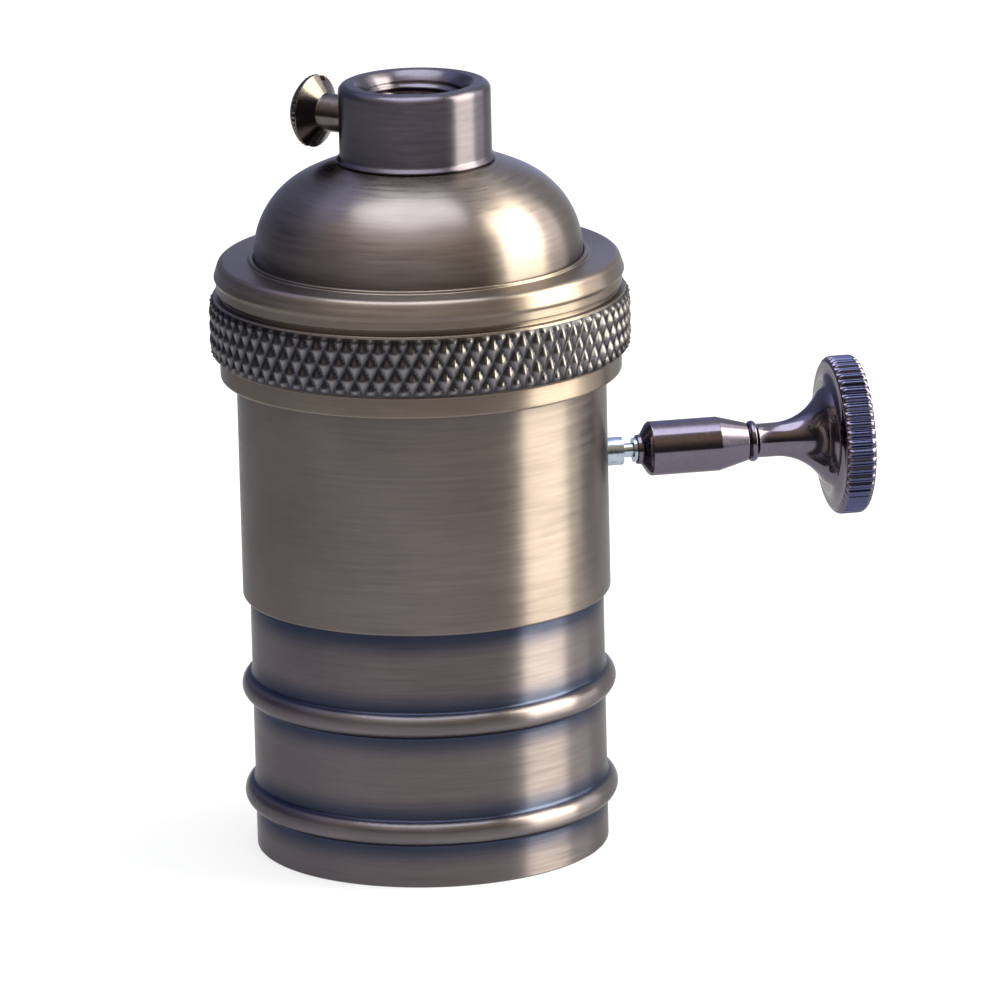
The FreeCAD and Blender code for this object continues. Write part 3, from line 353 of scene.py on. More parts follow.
def make_lower_sleeve():
    """Thin sleeve with rolled beads, hollow behind each bead."""
    top = high("lower_sleeve").z
    outer = sleeve_wall_radius()
    inner = outer - WALL_SLEEVE
    centre = outer + BEAD_RISE - BEAD_RADIUS
    outline = rounded([(inner, 0, 0.1), (outer, 0, 0.18), (outer, top, 0.1), (inner, top)])
    upper_edge = [point for point in outline if point[1] > top / 2]
    outline = outline[:-len(upper_edge)]
    for middle in BEAD_HEIGHTS:
        outline += bead_outline(outer, BEAD_RADIUS, BEAD_ROOT, centre, middle)
    outline += upper_edge
    for middle in reversed(BEAD_HEIGHTS):
        hollow = bead_outline(inner, BEAD_RADIUS - WALL_SLEEVE, BEAD_ROOT + WALL_SLEEVE,
                              centre, middle)
        outline += hollow[::-1]
    return turned("sleeve", outline)


def ring_top():
    """Height of the ring's flat, inside which its collar stands."""
    return high("clamp_ring").z - RING_COLLAR_HEIGHT


def knurl_heights():
    """Bottom and top of the knurled band."""
    bottom = low("clamp_ring").z + RING_BAND_HEIGHT + RING_CHAMFER
    return bottom, bottom + KNURL_HEIGHT


def make_clamp_ring():
    """Clamp ring: plain band, diamond knurl, groove, crown and a low collar."""
    bottom, top = low("clamp_ring").z, ring_top()
    peak = RING_BAND_RADIUS + KNURL_STEP + KNURL_DEPTH
    bore = high("body_tube").y + FIT
    lip = top - RING_LIP_THICKNESS
    valley = peak - KNURL_DEPTH
    bed = valley - KNURL_BED
    knurl_bottom, knurl_top = knurl_heights()
    groove = knurl_top + KNURL_RUNOUT
    above = groove + RING_GROOVE_HEIGHT
    lip_radius = DOME_RADIUS + RING_LIP_CLEARANCE
    collar = lip_radius + RING_COLLAR_WIDTH
    shoulder = top - RING_CROWN_ROUND - RING_CROWN_RIM / 2
    rows = KNURL_ROWS * KNURL_STEPS
    start = rounded([(bore, lip, 0.1), (bore, bottom, 0.15),
                     (RING_BAND_RADIUS, bottom, 0.35),
                     (RING_BAND_RADIUS, knurl_bottom - RING_CHAMFER, 0.12),
                     (bed, knurl_bottom - KNURL_LIP)])
    band = [(peak, knurl_bottom + KNURL_HEIGHT * i / rows) for i in range(rows + 1)]
    end = rounded([
        (bed, knurl_top + KNURL_LIP), (bed, groove, 0.1),
        (RING_GROOVE_RADIUS, groove, 0.12), (RING_GROOVE_RADIUS, above, 0.12),
        (RING_SIDE_RADIUS, above, 0.15), (RING_SIDE_RADIUS, shoulder - RING_CROWN_STEP, 0.3),
        (RING_CROWN_RADIUS, shoulder, 0.3),
        (RING_CROWN_RADIUS - RING_CROWN_LEAN, top - RING_CROWN_ROUND, 2.5),
        (RING_CROWN_RADIUS - RING_CROWN_IN, top, 0.7),
        (collar, top, 0.15), (collar, top + RING_COLLAR_HEIGHT, 0.15),
        (lip_radius, top + RING_COLLAR_HEIGHT, 0.1), (lip_radius, lip)])

    def knurl(radius, height, turn):
        if radius < peak - MARK:
            return radius
        row = (height - knurl_bottom) / KNURL_HEIGHT * KNURL_ROWS
        one = (turn * KNURL_DIAMONDS + row) % 1
        other = (turn * KNURL_DIAMONDS - row) % 1
        slope = min(one, 1 - one, other, 1 - other) * 2
        fade = min(1.0, row / KNURL_FADE + 0.1, (KNURL_ROWS - row) / KNURL_FADE + 0.1)
        return valley + KNURL_DEPTH * min(1.0, slope / KNURL_FLANK) * fade

    return turned("ring", start + band + end, around=KNURL_DIAMONDS * KNURL_STEPS, relief=knurl)


def make_dome():
    """Spun dome: flange, shoulder arc and crown arc up to the neck."""
    base = ring_top() + DOME_STRAIGHT
    bottom = low("dome_cap").z
    flange = high("dome_cap").y
    across = DOME_RADIUS - SHOULDER_RADIUS
    drop = math.sqrt((CROWN_RADIUS - SHOULDER_RADIUS) ** 2 - across ** 2)
    shift = math.degrees(math.atan2(drop, across))
    foot = NECK_RADIUS + NECK_FOOT

    def crown(radius, wall, steps):
        end = math.degrees(math.acos(foot / (radius - wall)))
        shoulder = arc((across, base), SHOULDER_RADIUS - wall, 0, shift, steps)
        top = arc((0, base - drop), radius - wall, shift, end, steps)
        return shoulder + top[1:]

    outer = crown(CROWN_RADIUS, 0, 28)
    inner = crown(CROWN_RADIUS, WALL_DOME, 16)
    hole = SPIGOT_RADIUS + FIT
    seat = base - drop + math.sqrt(CROWN_RADIUS ** 2 - foot ** 2)
    under = base - drop + math.sqrt((CROWN_RADIUS - WALL_DOME) ** 2 - foot ** 2)
    flange_top = bottom + FLANGE_THICKNESS
    outline = rounded([
        (DOME_RADIUS - WALL_DOME, bottom, 0.1), (flange, bottom, 0.15),
        (flange, flange_top, 0.15), (DOME_RADIUS, flange_top, 0.2),
        (DOME_RADIUS, base)])
    outline += outer[1:] + [(hole, seat), (hole, under)] + inner[::-1]
    return turned("dome", outline)


def neck_levels():
    """Underside, seat and top of the neck."""
    top = high("neck").z
    seat = top - NECK_HEIGHT
    foot = NECK_RADIUS + NECK_FOOT
    thickness = (math.sqrt(CROWN_RADIUS ** 2 - foot ** 2)
                 - math.sqrt((CROWN_RADIUS - WALL_DOME) ** 2 - foot ** 2))
    return seat - thickness, seat, top


def make_neck():
    """Turned neck staked in the dome, with a threaded bore and the set screw's hole."""
    under, seat, top = neck_levels()
    stake = SPIGOT_RADIUS + STAKE_RIM
    bottom = under - STAKE_THICKNESS
    foot = NECK_RADIUS + NECK_FOOT
    undercut, foot_bottom, foot_top, sweep = (seat + rise for rise in NECK_FOOT_HEIGHTS)
    outer = rounded([
        (NECK_BORE, bottom, 0.1), (stake, bottom, 0.2), (stake, under, 0.1),
        (SPIGOT_RADIUS, under, 0.05), (SPIGOT_RADIUS, seat, 0.05),
        (NECK_RADIUS, seat, 0.03), (NECK_RADIUS + 0.1, undercut, 0.03),
        (foot, foot_bottom, 0.04), (foot, foot_top, 0.06),
        (NECK_RADIUS, sweep, 0.4), (NECK_RADIUS, top, NECK_ROUND),
        (NECK_MOUTH, top, 0.35), (NECK_BORE, top - NECK_MOUTH_DEPTH, 0.1)], steps=6)
    length = top - NECK_MOUTH_DEPTH - bottom - 0.2
    rows = 10 * int(length / NECK_THREAD_PITCH)
    bore = [(NECK_BORE - MARK, top - NECK_MOUTH_DEPTH - 0.1 - length * i / rows)
            for i in range(rows + 1)]

    def thread(radius, height, turn):
        if radius > NECK_BORE - MARK / 2:
            return radius
        phase = (height / NECK_THREAD_PITCH - turn) % 1
        ridge = max(0.0, 1 - abs(phase - 0.5) * NECK_THREAD_SLOPE)
        start = min(1.0, (top - NECK_MOUTH_DEPTH - height) / NECK_THREAD_START)
        return radius - NECK_THREAD_DEPTH * ridge * start

    piece = turned("neck_turning", outer + bore, around=192, relief=thread)
    hole = turned("hole", [(0, 2), (SET_SCREW_HOLE, 2), (SET_SCREW_HOLE, 12), (0, 12)],
                  around=48)
    hole.data.transform(set_screw_place())
    cut(piece, hole)
    return piece


def set_screw_place():
    """From a turning about Z to the set screw's own line across the neck."""
    height = neck_levels()[1] + SET_SCREW_HEIGHT
    return (Matrix.Translation((0, 0, height * MM))
            @ Matrix.Rotation(math.radians(SET_SCREW_AZIMUTH), 4, "Z")
            @ Matrix.Rotation(math.radians(SET_SCREW_TURN), 4, "X")
            @ Matrix.Rotation(math.pi / 2, 4, "Y"))


def make_set_screw():
    """Slotted mushroom head on a short shank; built along Z and then laid over."""
    rim, head, rise = SET_RIM_PLACE, SET_HEAD_RADIUS, SET_HEAD_RISE
    face = rim + SET_RIM
    ball = (head ** 2 + rise ** 2) / (2 * rise)
    spread = math.degrees(math.asin(head / ball))
    dome = arc((0, face + rise - ball), ball, 90 - spread, 90, 20)
    shank = rounded([
        (0, SET_TIP), (SET_SHANK, SET_TIP, 0.35), (SET_SHANK, rim - SET_HEAD_CONE, 0.15),
        (head, rim, 0.08), (head, rim + 0.1)])
    rim_points = [(head, rim + 0.14), (head, face)]
    dome[-1] = (0, dome[-1][1])

    def rim_relief(radius, height, turn):
        if radius < head - 0.12 or height < rim + 0.12:
            return radius
        wave = 0.5 - 0.5 * math.cos(2 * math.pi * turn * SET_KNURLS)
        return radius - SET_KNURL_DEPTH * wave

    piece = turned("screw", shank + rim_points + dome[1:], around=SET_KNURLS * 6,
                   relief=rim_relief)
    slot = bpy.data.meshes.new("slot")
    build = bmesh.new()
    bmesh.ops.create_cube(build, size=1.0, matrix=Matrix.Translation(
        (0, 0, (face + rise) * MM)) @ Matrix.Diagonal(
        (head * 2.2 * MM, SET_SLOT_WIDTH * MM, SET_SLOT_DEPTH * 2 * MM, 1)))
    build.to_mesh(slot)
    build.free()
    tool = new_object("slot", slot)
    cut(piece, tool)
    piece.matrix_world = set_screw_place()
    return piece


def make_knob():
    """Turned knob: nose, barrel, cone, bead, waist and a flare into a toothed disc."""
    disc_end = DISC_START + DISC_THICKNESS
    flare_top = KNOB_WAIST + FLARE_RADIUS - math.sqrt(FLARE_RADIUS ** 2 - FLARE_LENGTH ** 2)
    flare_turn = math.degrees(math.asin(FLARE_LENGTH / FLARE_RADIUS))
    bead_start = CONE_END + BEAD_GAP
    bead_foot = KNOB_WAIST + BEAD_FOOT
    bead_middle = bead_start + KNOB_BEAD_LENGTH / 2
    half = KNOB_BEAD_LENGTH / 2
    bead_turn = math.degrees(math.asin(half / KNOB_BEAD_RADIUS))
    bead_centre = bead_foot - KNOB_BEAD_RADIUS * math.cos(math.radians(bead_turn))
    outline = rounded([
        (0, KNOB_HOLE_END), (KNOB_SPIGOT, KNOB_HOLE_END), (KNOB_SPIGOT, KNOB_START, 0.1),
        (NOSE_RADIUS, KNOB_START, 0.1),
        (NOSE_RADIUS + NOSE_DRAFT, KNOB_START + NOSE_STRAIGHT, 0.2),
        (BARREL_RADIUS - BARREL_SHOULDER, KNOB_START + NOSE_LENGTH * NOSE_SWEEP, 0.3),
        (BARREL_RADIUS, KNOB_START + NOSE_LENGTH, 0.3), (BARREL_RADIUS, BARREL_END, 0.2),
        (CONE_RADIUS, CONE_END, 0.2), (KNOB_WAIST + 0.05, bead_start, 0.05),
        (bead_foot, bead_start + 0.02)])
    crest = arc((bead_middle, bead_centre), KNOB_BEAD_RADIUS, 90 + bead_turn,
                90 - bead_turn, 12)
    outline += [(across, along) for along, across in crest]
    outline += [(KNOB_WAIST, bead_start + KNOB_BEAD_LENGTH + 0.15)]
    flare = arc((FLARE_START, KNOB_WAIST + FLARE_RADIUS), FLARE_RADIUS, -90,
                -90 + flare_turn, 24)
    outline += [(across, along) for along, across in flare]
    foot = flare_top + DISC_BOSS
    outline += [(foot, DISC_START - DISC_BOSS_HEIGHT), (foot + 0.15, DISC_START)]
    outline += rounded([(foot + 0.2, DISC_START), (DISC_RADIUS, DISC_START, DISC_ROUND),
                        (DISC_RADIUS, disc_end, DISC_ROUND), (0, disc_end)], steps=8)[1:]

    def teeth(radius, along, turn):
        inside = DISC_RADIUS - DISC_ROUND
        if along < DISC_START - 0.01 or radius < inside:
            return radius
        share = max(0.0, (radius - inside) / DISC_ROUND - TOOTH_START) / (1 - TOOTH_START)
        wave = abs((turn * TEETH) % 1 - 0.5) * 2
        notch = max(0.0, min(1.0, (TOOTH_GAP - wave) / TOOTH_FLANK))
        return radius - TOOTH_DEPTH * notch * share ** 0.5

    piece = turned("knob_turning", outline, around=TEETH * 10, relief=teeth)
    lay_along_x(piece, KNOB_HEIGHT)
    return piece


# ------------------------------------------------------------------ materials

# Brush streaks: how many in a metre across and in one turn, and how far their tones spread.
STREAKS_ACROSS = 2500.0
STREAKS_ROUND = 2.5
STREAK_SPREAD = 0.22 / 1.3
END_POLISH = 0.8
EDGE_TINT = 0.6
BUMP_HEIGHT = 0.0001
# Width in millimetres over which a dark band clears to its bright middle.
DARK_BAND_CLEAR = 0.3


def add(tree, kind, settings, inputs):
    """A shader node with its settings; an input is a value or another node's socket."""
    node = tree.nodes.new("ShaderNode" + kind)
    for key, value in settings.items():
        setattr(node, key, value)
    for key, value in inputs.items():
        if isinstance(value, bpy.types.NodeSocket):
            tree.links.new(value, node.inputs[key])
        else:
            node.inputs[key].default_value = value
    return node


def principled(material):
    """The Principled shader of a material."""
    return next(n for n in material.node_tree.nodes if n.type == "BSDF_PRINCIPLED")


def new_material(name):
    """An empty node material and its Principled shader."""
    material = bpy.data.materials.new(name)
    material.use_nodes = True
    return material, material.node_tree, principled(material)


def own_place(tree):
    """A point's place in its own piece, in metres."""
    return add(tree, "TexCoord", {}, {}).outputs["Object"]


def fed_by(shader, name):
    """The socket that feeds an input of a shader."""
    return shader.inputs[name].links[0].from_socket


def two_tones(tree, share, places, tones):
    """Colour that runs from one tone to another between two places of a share."""
    ramp = add(tree, "ValToRGB", {}, {"Fac": share})
    for stop, place, tone in zip(ramp.color_ramp.elements, places, tones):
        stop.position = place
        stop.color = (*tone, 1)
    return ramp.outputs["Color"]


def math_node(tree, operation, first, second=0.0, third=0.0):
    """Result of one sum."""
    node = add(tree, "Math", {"operation": operation}, {0: first, 1: second, 2: third})
    return node.outputs[0]


def lathe_noise(tree, axis):
    """Noise in rings about an axis, as a turning tool or a brush leaves it."""
    split = add(tree, "SeparateXYZ", {}, {0: own_place(tree)})
    names = {"Z": ("X", "Y", "Z"), "X": ("Y", "Z", "X")}[axis]
    first, second, along = (split.outputs[n] for n in names)
    flat = add(tree, "CombineXYZ", {}, {0: first, 1: second, 2: 0.0})
    radius = add(tree, "VectorMath", {"operation": "LENGTH"}, {0: flat.outputs[0]}).outputs["Value"]
    unit = add(tree, "VectorMath", {"operation": "NORMALIZE"}, {0: flat.outputs[0]})
    parts = add(tree, "SeparateXYZ", {}, {0: unit.outputs[0]})
    vector = add(tree, "CombineXYZ", {}, {
        0: math_node(tree, "MULTIPLY", radius, STREAKS_ACROSS),
        1: math_node(tree, "MULTIPLY", along, STREAKS_ACROSS),
        2: math_node(tree, "MULTIPLY", parts.outputs[0], STREAKS_ROUND)})
    turn = math_node(tree, "MULTIPLY", parts.outputs[1], STREAKS_ROUND)
    noise = add(tree, "TexNoise", {"noise_dimensions": "4D"}, {
        "Vector": vector.outputs[0], "W": turn, "Scale": 1.0, "Detail": 4.0,
        "Roughness": 0.6})
    return noise.outputs["Fac"]


def knurl_mask(tree):
    """1 in the height of the knurled band, and how far out a point lies on it."""
    split = add(tree, "SeparateXYZ", {}, {0: own_place(tree)})
    flat = add(tree, "CombineXYZ", {}, {0: split.outputs[0], 1: split.outputs[1], 2: 0.0})
    radius = add(tree, "VectorMath", {"operation": "LENGTH"}, {0: flat.outputs[0]})
    valley = RING_BAND_RADIUS + KNURL_STEP
    out = add(tree, "MapRange", {}, {
        "Value": radius.outputs["Value"], "From Min": valley * MM,
        "From Max": (valley + KNURL_DEPTH) * MM})
    middle = (knurl_heights()[0] + knurl_heights()[1]) / 2
    away = math_node(tree, "ABSOLUTE", math_node(tree, "SUBTRACT", split.outputs[2],
                                                  middle * MM))
    inside = math_node(tree, "LESS_THAN", away, (KNURL_HEIGHT / 2 + KNURL_BED) * MM)
    outward = math_node(tree, "GREATER_THAN", radius.outputs["Value"],
                        (valley - KNURL_LIP) * MM)
    return math_node(tree, "MULTIPLY", inside, outward), out.outputs["Result"]


def knurled_metal(material, recess, crest, roughness):
    """Knurl's valleys painted near black, partly patina and partly painted shade, lightening to
    rubbed crests.
    """
    tree, shader = material.node_tree, principled(material)
    mask, out = knurl_mask(tree)
    valley_shade_and_patina = two_tones(tree, out, (0.08, 0.75), (recess, crest))
    mix = add(tree, "Mix", {"data_type": "RGBA"}, {
        0: mask, 6: fed_by(shader, "Base Color"), 7: valley_shade_and_patina})
    tree.links.new(mix.outputs[2], shader.inputs["Base Color"])
    rough = add(tree, "Mix", {"data_type": "FLOAT"}, {
        0: mask, 2: fed_by(shader, "Roughness"), 3: roughness})
    tree.links.new(rough.outputs[0], shader.inputs["Roughness"])
    stretch = math_node(tree, "MULTIPLY", fed_by(shader, "Anisotropic"),
                        math_node(tree, "SUBTRACT", 1.0, mask))
    tree.links.new(stretch, shader.inputs["Anisotropic"])
    return material


def brushed_metal(name, dark, light, roughness, anisotropy, axis="Z", bump=0.03):
    """Metal turned or brushed round an axis: streaks of tone, gloss and relief. Faces
    that look along the axis are a little more polished."""
    material, tree, shader = new_material(name)
    streaks = lathe_noise(tree, axis)
    cloud = add(tree, "TexNoise", {}, {
        "Vector": own_place(tree), "Scale": 120.0, "Detail": 3.0})
    mixed = math_node(tree, "MULTIPLY_ADD", cloud.outputs["Fac"], 0.35,
                      math_node(tree, "MULTIPLY", streaks, 0.65))
    tone = two_tones(tree, mixed, (0.5 - STREAK_SPREAD, 0.5 + STREAK_SPREAD), (dark, light))
    tree.links.new(tone, shader.inputs["Base Color"])
    shader.inputs["Metallic"].default_value = 1.0
    upward = add(tree, "SeparateXYZ", {}, {
        0: add(tree, "TexCoord", {}, {}).outputs["Normal"]}).outputs["XYZ".index(axis)]
    ends = add(tree, "MapRange", {}, {
        "Value": math_node(tree, "ABSOLUTE", upward), "From Min": 0.15, "From Max": 0.75,
        "To Min": 1.0, "To Max": END_POLISH}).outputs["Result"]
    rough = add(tree, "MapRange", {}, {
        "Value": streaks, "From Min": 0.3, "From Max": 0.7,
        "To Min": roughness * 0.88, "To Max": roughness * 1.14})
    tree.links.new(math_node(tree, "MULTIPLY", rough.outputs["Result"], ends),
                   shader.inputs["Roughness"])
    tree.links.new(math_node(tree, "MULTIPLY", ends, anisotropy),
                   shader.inputs["Anisotropic"])
    shader.inputs["Anisotropic Rotation"].default_value = 0.25
    shader.inputs["Specular Tint"].default_value = (EDGE_TINT, EDGE_TINT, EDGE_TINT, 1)
    tangent = add(tree, "Tangent", {"direction_type": "RADIAL", "axis": axis}, {})
    tree.links.new(tangent.outputs[0], shader.inputs["Tangent"])
    relief = add(tree, "Bump", {}, {"Height": streaks, "Strength": bump,
                                    "Distance": BUMP_HEIGHT})
    tree.links.new(relief.outputs[0], shader.inputs["Normal"])
    return material


def darkened_bands(material, axis, bands, tone):
    """Metal multiplied by a tone in bands along an axis. A band is its middle, its half
    width, the width of its fade and the half width that stays bright, in millimetres."""
    tree, shader = material.node_tree, principled(material)
    along = add(tree, "SeparateXYZ", {}, {0: own_place(tree)}).outputs["XYZ".index(axis)]
    total = 0.0
    for middle, half, fade, bright in bands:
        away = math_node(tree, "ABSOLUTE", math_node(tree, "SUBTRACT", along, middle * MM))
        dark = add(tree, "MapRange", {"interpolation_type": "SMOOTHSTEP"}, {
            "Value": away, "From Min": half * MM, "From Max": (half + fade) * MM,
            "To Min": 1.0, "To Max": 0.0}).outputs["Result"]
        if bright:
            clear = add(tree, "MapRange", {"interpolation_type": "SMOOTHSTEP"}, {
                "Value": away, "From Min": bright * MM,
                "From Max": (bright + DARK_BAND_CLEAR) * MM})
            dark = math_node(tree, "MULTIPLY", dark, clear.outputs["Result"])
        total = math_node(tree, "MAXIMUM", total, dark)
    mix = add(tree, "Mix", {"data_type": "RGBA", "blend_type": "MULTIPLY"}, {
        0: total, 6: fed_by(shader, "Base Color"), 7: (*tone, 1)})
    tree.links.new(mix.outputs[2], shader.inputs["Base Color"])
    return material


def speckled(name, base, other, roughness, metallic=0.0, scale=400.0, coat=0.0):
    """Cast, fired or moulded surface with a fine mottle."""
    material, tree, shader = new_material(name)
    noise = add(tree, "TexNoise", {}, {
        "Vector": own_place(tree), "Scale": scale, "Detail": 5.0})
    tone = two_tones(tree, noise.outputs["Fac"], (0.35, 0.65), (base, other))
    tree.links.new(tone, shader.inputs["Base Color"])
    rough = add(tree, "MapRange", {}, {
        "Value": noise.outputs["Fac"], "From Min": 0.3, "From Max": 0.7,
        "To Min": roughness * 0.85, "To Max": roughness * 1.15})
    tree.links.new(rough.outputs["Result"], shader.inputs["Roughness"])
    shader.inputs["Metallic"].default_value = metallic
    shader.inputs["Coat Weight"].default_value = coat
    relief = add(tree, "Bump", {}, {"Height": noise.outputs["Fac"], "Strength": 0.05,
                                    "Distance": BUMP_HEIGHT})
    tree.links.new(relief.outputs[0], shader.inputs["Normal"])
    return material


# ------------------------------------------------------------------ studio

def camera_axes():
    """Camera's right, up and forward directions before and after its roll."""
    pitch, roll = math.radians(CAMERA_PITCH), math.radians(CAMERA_ROLL)
    turn = Matrix.Rotation(-math.radians(CAMERA_TURN), 3, "Z")
    right = turn @ Vector((1, 0, 0))
    forward = turn @ Vector((0, math.cos(pitch), -math.sin(pitch)))
    up = turn @ Vector((0, math.sin(pitch), math.cos(pitch)))
    across = right * math.cos(roll) - up * math.sin(roll)
    upward = right * math.sin(roll) + up * math.cos(roll)
    return across, upward, forward, right


def make_camera():
    """Camera that matches the product view, with its roll."""
    across, upward, forward, _ = camera_axes()
    aim = across * CAMERA_AIM[0] + upward * CAMERA_AIM[1]
    place = aim - forward * CAMERA_DISTANCE
    data = bpy.data.cameras.new("camera")
    data.sensor_width = 36.0
    data.lens = CAMERA_LENS
    data.clip_start = 0.05
    data.clip_end = 20.0
    camera = new_object("camera", data)
    turn = Matrix((across, upward, -forward)).transposed().to_4x4()
    camera.matrix_world = Matrix.Translation(place) @ turn
    bpy.context.scene.camera = camera


def studio_direction(azimuth, elevation):
    """Direction from the holder: azimuth 0 is towards the camera, and grows to its right."""
    _, _, forward, right = camera_axes()
    toward = -Vector((forward.x, forward.y, 0)).normalized()
    az, el = math.radians(azimuth), math.radians(elevation)
    flat = toward * math.cos(az) + right * math.sin(az)
    return flat * math.cos(el) + Vector((0, 0, 1)) * math.sin(el)


AIM_POINT = Vector((0, 0, 0.045))


def area_light(name, azimuth, elevation, distance, width, height, radiance, colour,
               lean=0):
    """A soft box that faces the holder, as bright as radiance times white. A negative
    lean, in degrees, tips its top edge towards a higher azimuth."""
    data = bpy.data.lights.new(name, "AREA")
    data.shape = "RECTANGLE"
    data.size = width
    data.size_y = height
    data.energy = radiance * math.pi * width * height
    data.color = colour
    light = new_object(name, data)
    direction = studio_direction(azimuth, elevation)
    light.location = AIM_POINT + direction * distance
    facing = direction.to_track_quat("Z", "Y").to_matrix()
    light.rotation_euler = (facing @ Matrix.Rotation(math.radians(lean), 3, "Z")).to_euler()


def studio_wall(name, azimuths, elevations, radius, level):
    """A curved wall that only shows as a reflection in the metal. level(azimuth,
    elevation) gives its brightness, and a colour attribute carries it."""
    columns, rows = 36, 16
    build = bmesh.new()
    paint = build.loops.layers.float_color.new("level")
    grid, tone = [], {}
    for row in range(rows + 1):
        elevation = elevations[0] + (elevations[1] - elevations[0]) * row / rows
        line = []
        for column in range(columns + 1):
            azimuth = azimuths[0] + (azimuths[1] - azimuths[0]) * column / columns
            place = AIM_POINT + studio_direction(azimuth, elevation) * radius
            corner = build.verts.new(place)
            tone[corner] = level(azimuth, elevation)
            line.append(corner)
        grid.append(line)
    for below, above in zip(grid, grid[1:]):
        for left, right in zip(zip(below, above), zip(below[1:], above[1:])):
            face = build.faces.new((left[0], right[0], right[1], left[1]))
            for loop in face.loops:
                loop[paint] = (*tone[loop.vert], 1)
    mesh = bpy.data.meshes.new(name)
    build.to_mesh(mesh)
    build.free()
    wall = new_object(name, mesh)
    material = bpy.data.materials.new(name)
    material.use_nodes = True
    tree = material.node_tree
    tree.nodes.clear()
    colour = add(tree, "VertexColor", {"layer_name": "level"}, {})
    glow = add(tree, "Emission", {}, {"Color": colour.outputs["Color"], "Strength": 1.0})
    add(tree, "OutputMaterial", {}, {"Surface": glow.outputs[0]})
    mesh.materials.append(material)
    for rays in ("camera", "diffuse", "shadow", "transmission", "volume_scatter"):
        setattr(wall, "visible_" + rays, False)


def smooth(value, start, end):
    """0 below start, 1 above end and an even rise between them."""
    share = max(0.0, min(1.0, (value - start) / (end - start)))
    return share * share * (3 - 2 * share)


def room_level(azimuth, elevation):
    """Dim room round the camera: darkest low down, golden above in front, and bluish
    to the left and behind."""
    front = smooth(azimuth, -125, -60)
    left = 1 - smooth(azimuth, -100, -50)
    low = 0.06 + 0.02 * front + 0.30 * smooth(-azimuth, 108, 155)
    high = 0.44 + 0.36 * front
    level = low + (high - low) * smooth(elevation, 4, 52)
    level += (1.0 - level) * smooth(elevation, 44 - 7 * left, 62 - 9 * left)
    level *= 1 - 0.30 * smooth(azimuth, -20, 50) * smooth(elevation, 30, 52)
    level += (1.0 - level) * smooth(-azimuth, 165, 195)
    warm = front * smooth(elevation, 0, 22) * (1 - 0.6 * smooth(elevation, 50, 62))
    warm *= 0.6 + 0.4 * smooth(azimuth, -60, 30)
    cool = (0.94 + 0.06 * front, 1.0 - 0.03 * front, 1.45 - 0.40 * front)
    gold = (1.24, 0.92, 0.55)
    return tuple(level * (c + (g - c) * warm) for c, g in zip(cool, gold))


def seen_directly(tree):
    """1 for rays from the camera or by way of gloss or glass, and otherwise 0."""
    path = add(tree, "LightPath", {}, {})
    some = math_node(tree, "MAXIMUM", path.outputs["Is Camera Ray"],
                     path.outputs["Is Glossy Ray"])
    return math_node(tree, "MAXIMUM", some, path.outputs["Is Transmission Ray"])


def make_world():
    """White studio: full strength where seen, softer as light on the object."""
    world = bpy.data.worlds.new("studio")
    bpy.context.scene.world = world
    world.use_nodes = True
    tree = world.node_tree
    background = next(n for n in tree.nodes if n.type == "BACKGROUND")
    background.inputs["Color"].default_value = (1, 1, 1, 1)
    strength = add(tree, "MapRange", {}, {
        "Value": seen_directly(tree), "To Min": 0.55, "To Max": 1.0})
    tree.links.new(strength.outputs["Result"], background.inputs["Strength"])


def make_floor():
    """White floor that takes the shadow but is nearly white to the camera."""
    mesh = bpy.data.meshes.new("floor")
    half = 4.0
    mesh.from_pydata([(-half, -half, 0), (half, -half, 0), (half, half, 0),
                      (-half, half, 0)], [], [(0, 1, 2, 3)])
    floor = new_object("floor", mesh)
    material, tree, shader = new_material("floor_white")
    shader.inputs["Base Color"].default_value = (0.86, 0.86, 0.86, 1)
    shader.inputs["Roughness"].default_value = 0.9
    shader.inputs["Specular IOR Level"].default_value = 0.0
    glow = add(tree, "Emission", {}, {"Color": (1, 1, 1, 1), "Strength": 1.0})
    share = math_node(tree, "MULTIPLY", seen_directly(tree), 0.72)
    mix = add(tree, "MixShader", {}, {0: share, 1: shader.outputs[0], 2: glow.outputs[0]})
    out = next(n for n in tree.nodes if n.type == "OUTPUT_MATERIAL")
    tree.links.new(mix.outputs[0], out.inputs["Surface"])
    mesh.materials.append(material)


# ------------------------------------------------------------------ the scene

make_camera()
make_world()
make_floor()
area_light("key_strip", 85.5, 22, 0.6, 0.38, 0.80, 13.0, (1.0, 0.91, 0.68), lean=-17)
area_light("key_tail", 117, 22, 0.6, 0.24, 0.76, 2.6, (1.0, 0.92, 0.80), lean=-13)
area_light("top_box", -60, 84, 0.6, 0.54, 0.52, 4.4, (0.96, 0.99, 1.04))
studio_wall("room", (-195, 58), (-8, 62), 0.32, room_level)

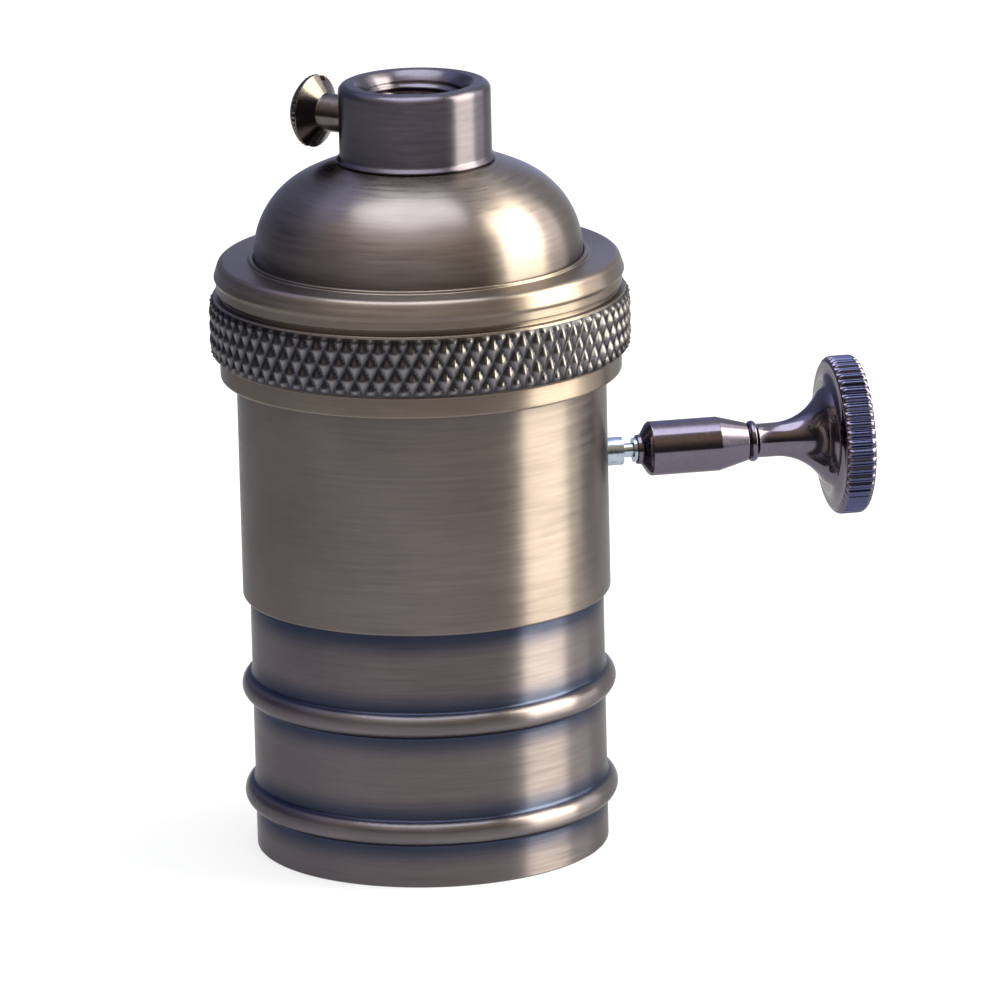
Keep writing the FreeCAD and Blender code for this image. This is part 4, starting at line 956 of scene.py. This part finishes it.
BRASS = brushed_metal("antique_brass", (0.135, 0.118, 0.115), (0.205, 0.179, 0.173), 0.36, 1.0)
# Ring: the knurl's valleys near black, partly patina in the hollows and partly painted shade.
RING = knurled_metal(
    brushed_metal("ring_brass", (0.155, 0.132, 0.119), (0.235, 0.200, 0.180), 0.38, 1.0),
    (0.034, 0.035, 0.044), (0.160, 0.154, 0.166), 0.30)
NECK = brushed_metal("neck_brass", (0.080, 0.074, 0.096), (0.122, 0.113, 0.140), 0.34, 1.0)
# Painted shade on the sleeve: dark bluish bands just under the body tube's lower edge, and beside
# each bead, partly patina in the bead roots and partly painted shade.
SLEEVE = darkened_bands(
    brushed_metal("sleeve_brass", (0.110, 0.099, 0.108), (0.168, 0.151, 0.163), 0.34, 1.0),
    "Z", [(middle, 1.4, 2.7, 1.0) for middle in BEAD_HEIGHTS]
    + [(low("body_tube").z, 0.4, 2.8, 0.0)], (0.27, 0.36, 0.58))
# Knob: a darker, bluer band over the disc's toothed rim.
KNOB = darkened_bands(
    brushed_metal("knob_brass", (0.106, 0.094, 0.130), (0.132, 0.118, 0.156), 0.16, 0.5,
                  axis="X", bump=0.01),
    "X", [(DISC_START + DISC_THICKNESS / 2, DISC_THICKNESS / 2 - 0.7, 0.4, 0.0)],
    (0.48, 0.60, 0.92))
SCREW = brushed_metal("screw_brass", (0.085, 0.078, 0.080), (0.150, 0.130, 0.115), 0.24, 0.4,
                      axis="Z", bump=0.02)
ZINC = brushed_metal("zinc_steel", (0.24, 0.30, 0.38), (0.40, 0.47, 0.56), 0.22, 0.4, axis="X")
SPRING = speckled("spring_steel", (0.42, 0.42, 0.43), (0.55, 0.55, 0.56), 0.3, metallic=1.0)
CONTACT = speckled("contact_brass", (0.62, 0.45, 0.20), (0.75, 0.56, 0.28), 0.28, metallic=1.0)
PORCELAIN = speckled("porcelain", (0.74, 0.72, 0.67), (0.82, 0.80, 0.76), 0.22, coat=0.5,
                     scale=250.0)
ROTOR = speckled("rotor_plastic", (0.05, 0.05, 0.05), (0.08, 0.08, 0.08), 0.45)

FINISHES = {
    "antique_brass": BRASS, "knob_brass": KNOB, "zinc_steel": ZINC, "spring_steel": SPRING,
    "contact_brass": CONTACT, "porcelain": PORCELAIN, "rotor_plastic": ROTOR}

finish_piece(make_body_tube(), "holder", ["body_tube"], BRASS)
finish_piece(make_lower_sleeve(), "holder", ["lower_sleeve"], SLEEVE)
finish_piece(make_dome(), "holder", ["dome_cap"], BRASS)
finish_piece(make_neck(), "holder", ["neck"], NECK)
finish_piece(make_clamp_ring(), "ring", ["clamp_ring"], RING)
finish_piece(make_set_screw(), "screw", ["set_screw"], SCREW)
finish_piece(make_knob(), "switch", ["knob"], KNOB)

for part in frame["record"]["subparts"]:
    node = frame["nodes"][part["node"]]
    node.data.materials.clear()
    node.data.materials.append(FINISHES[part["material_slot"]])

bpy.context.scene.view_settings.view_transform = "Standard"
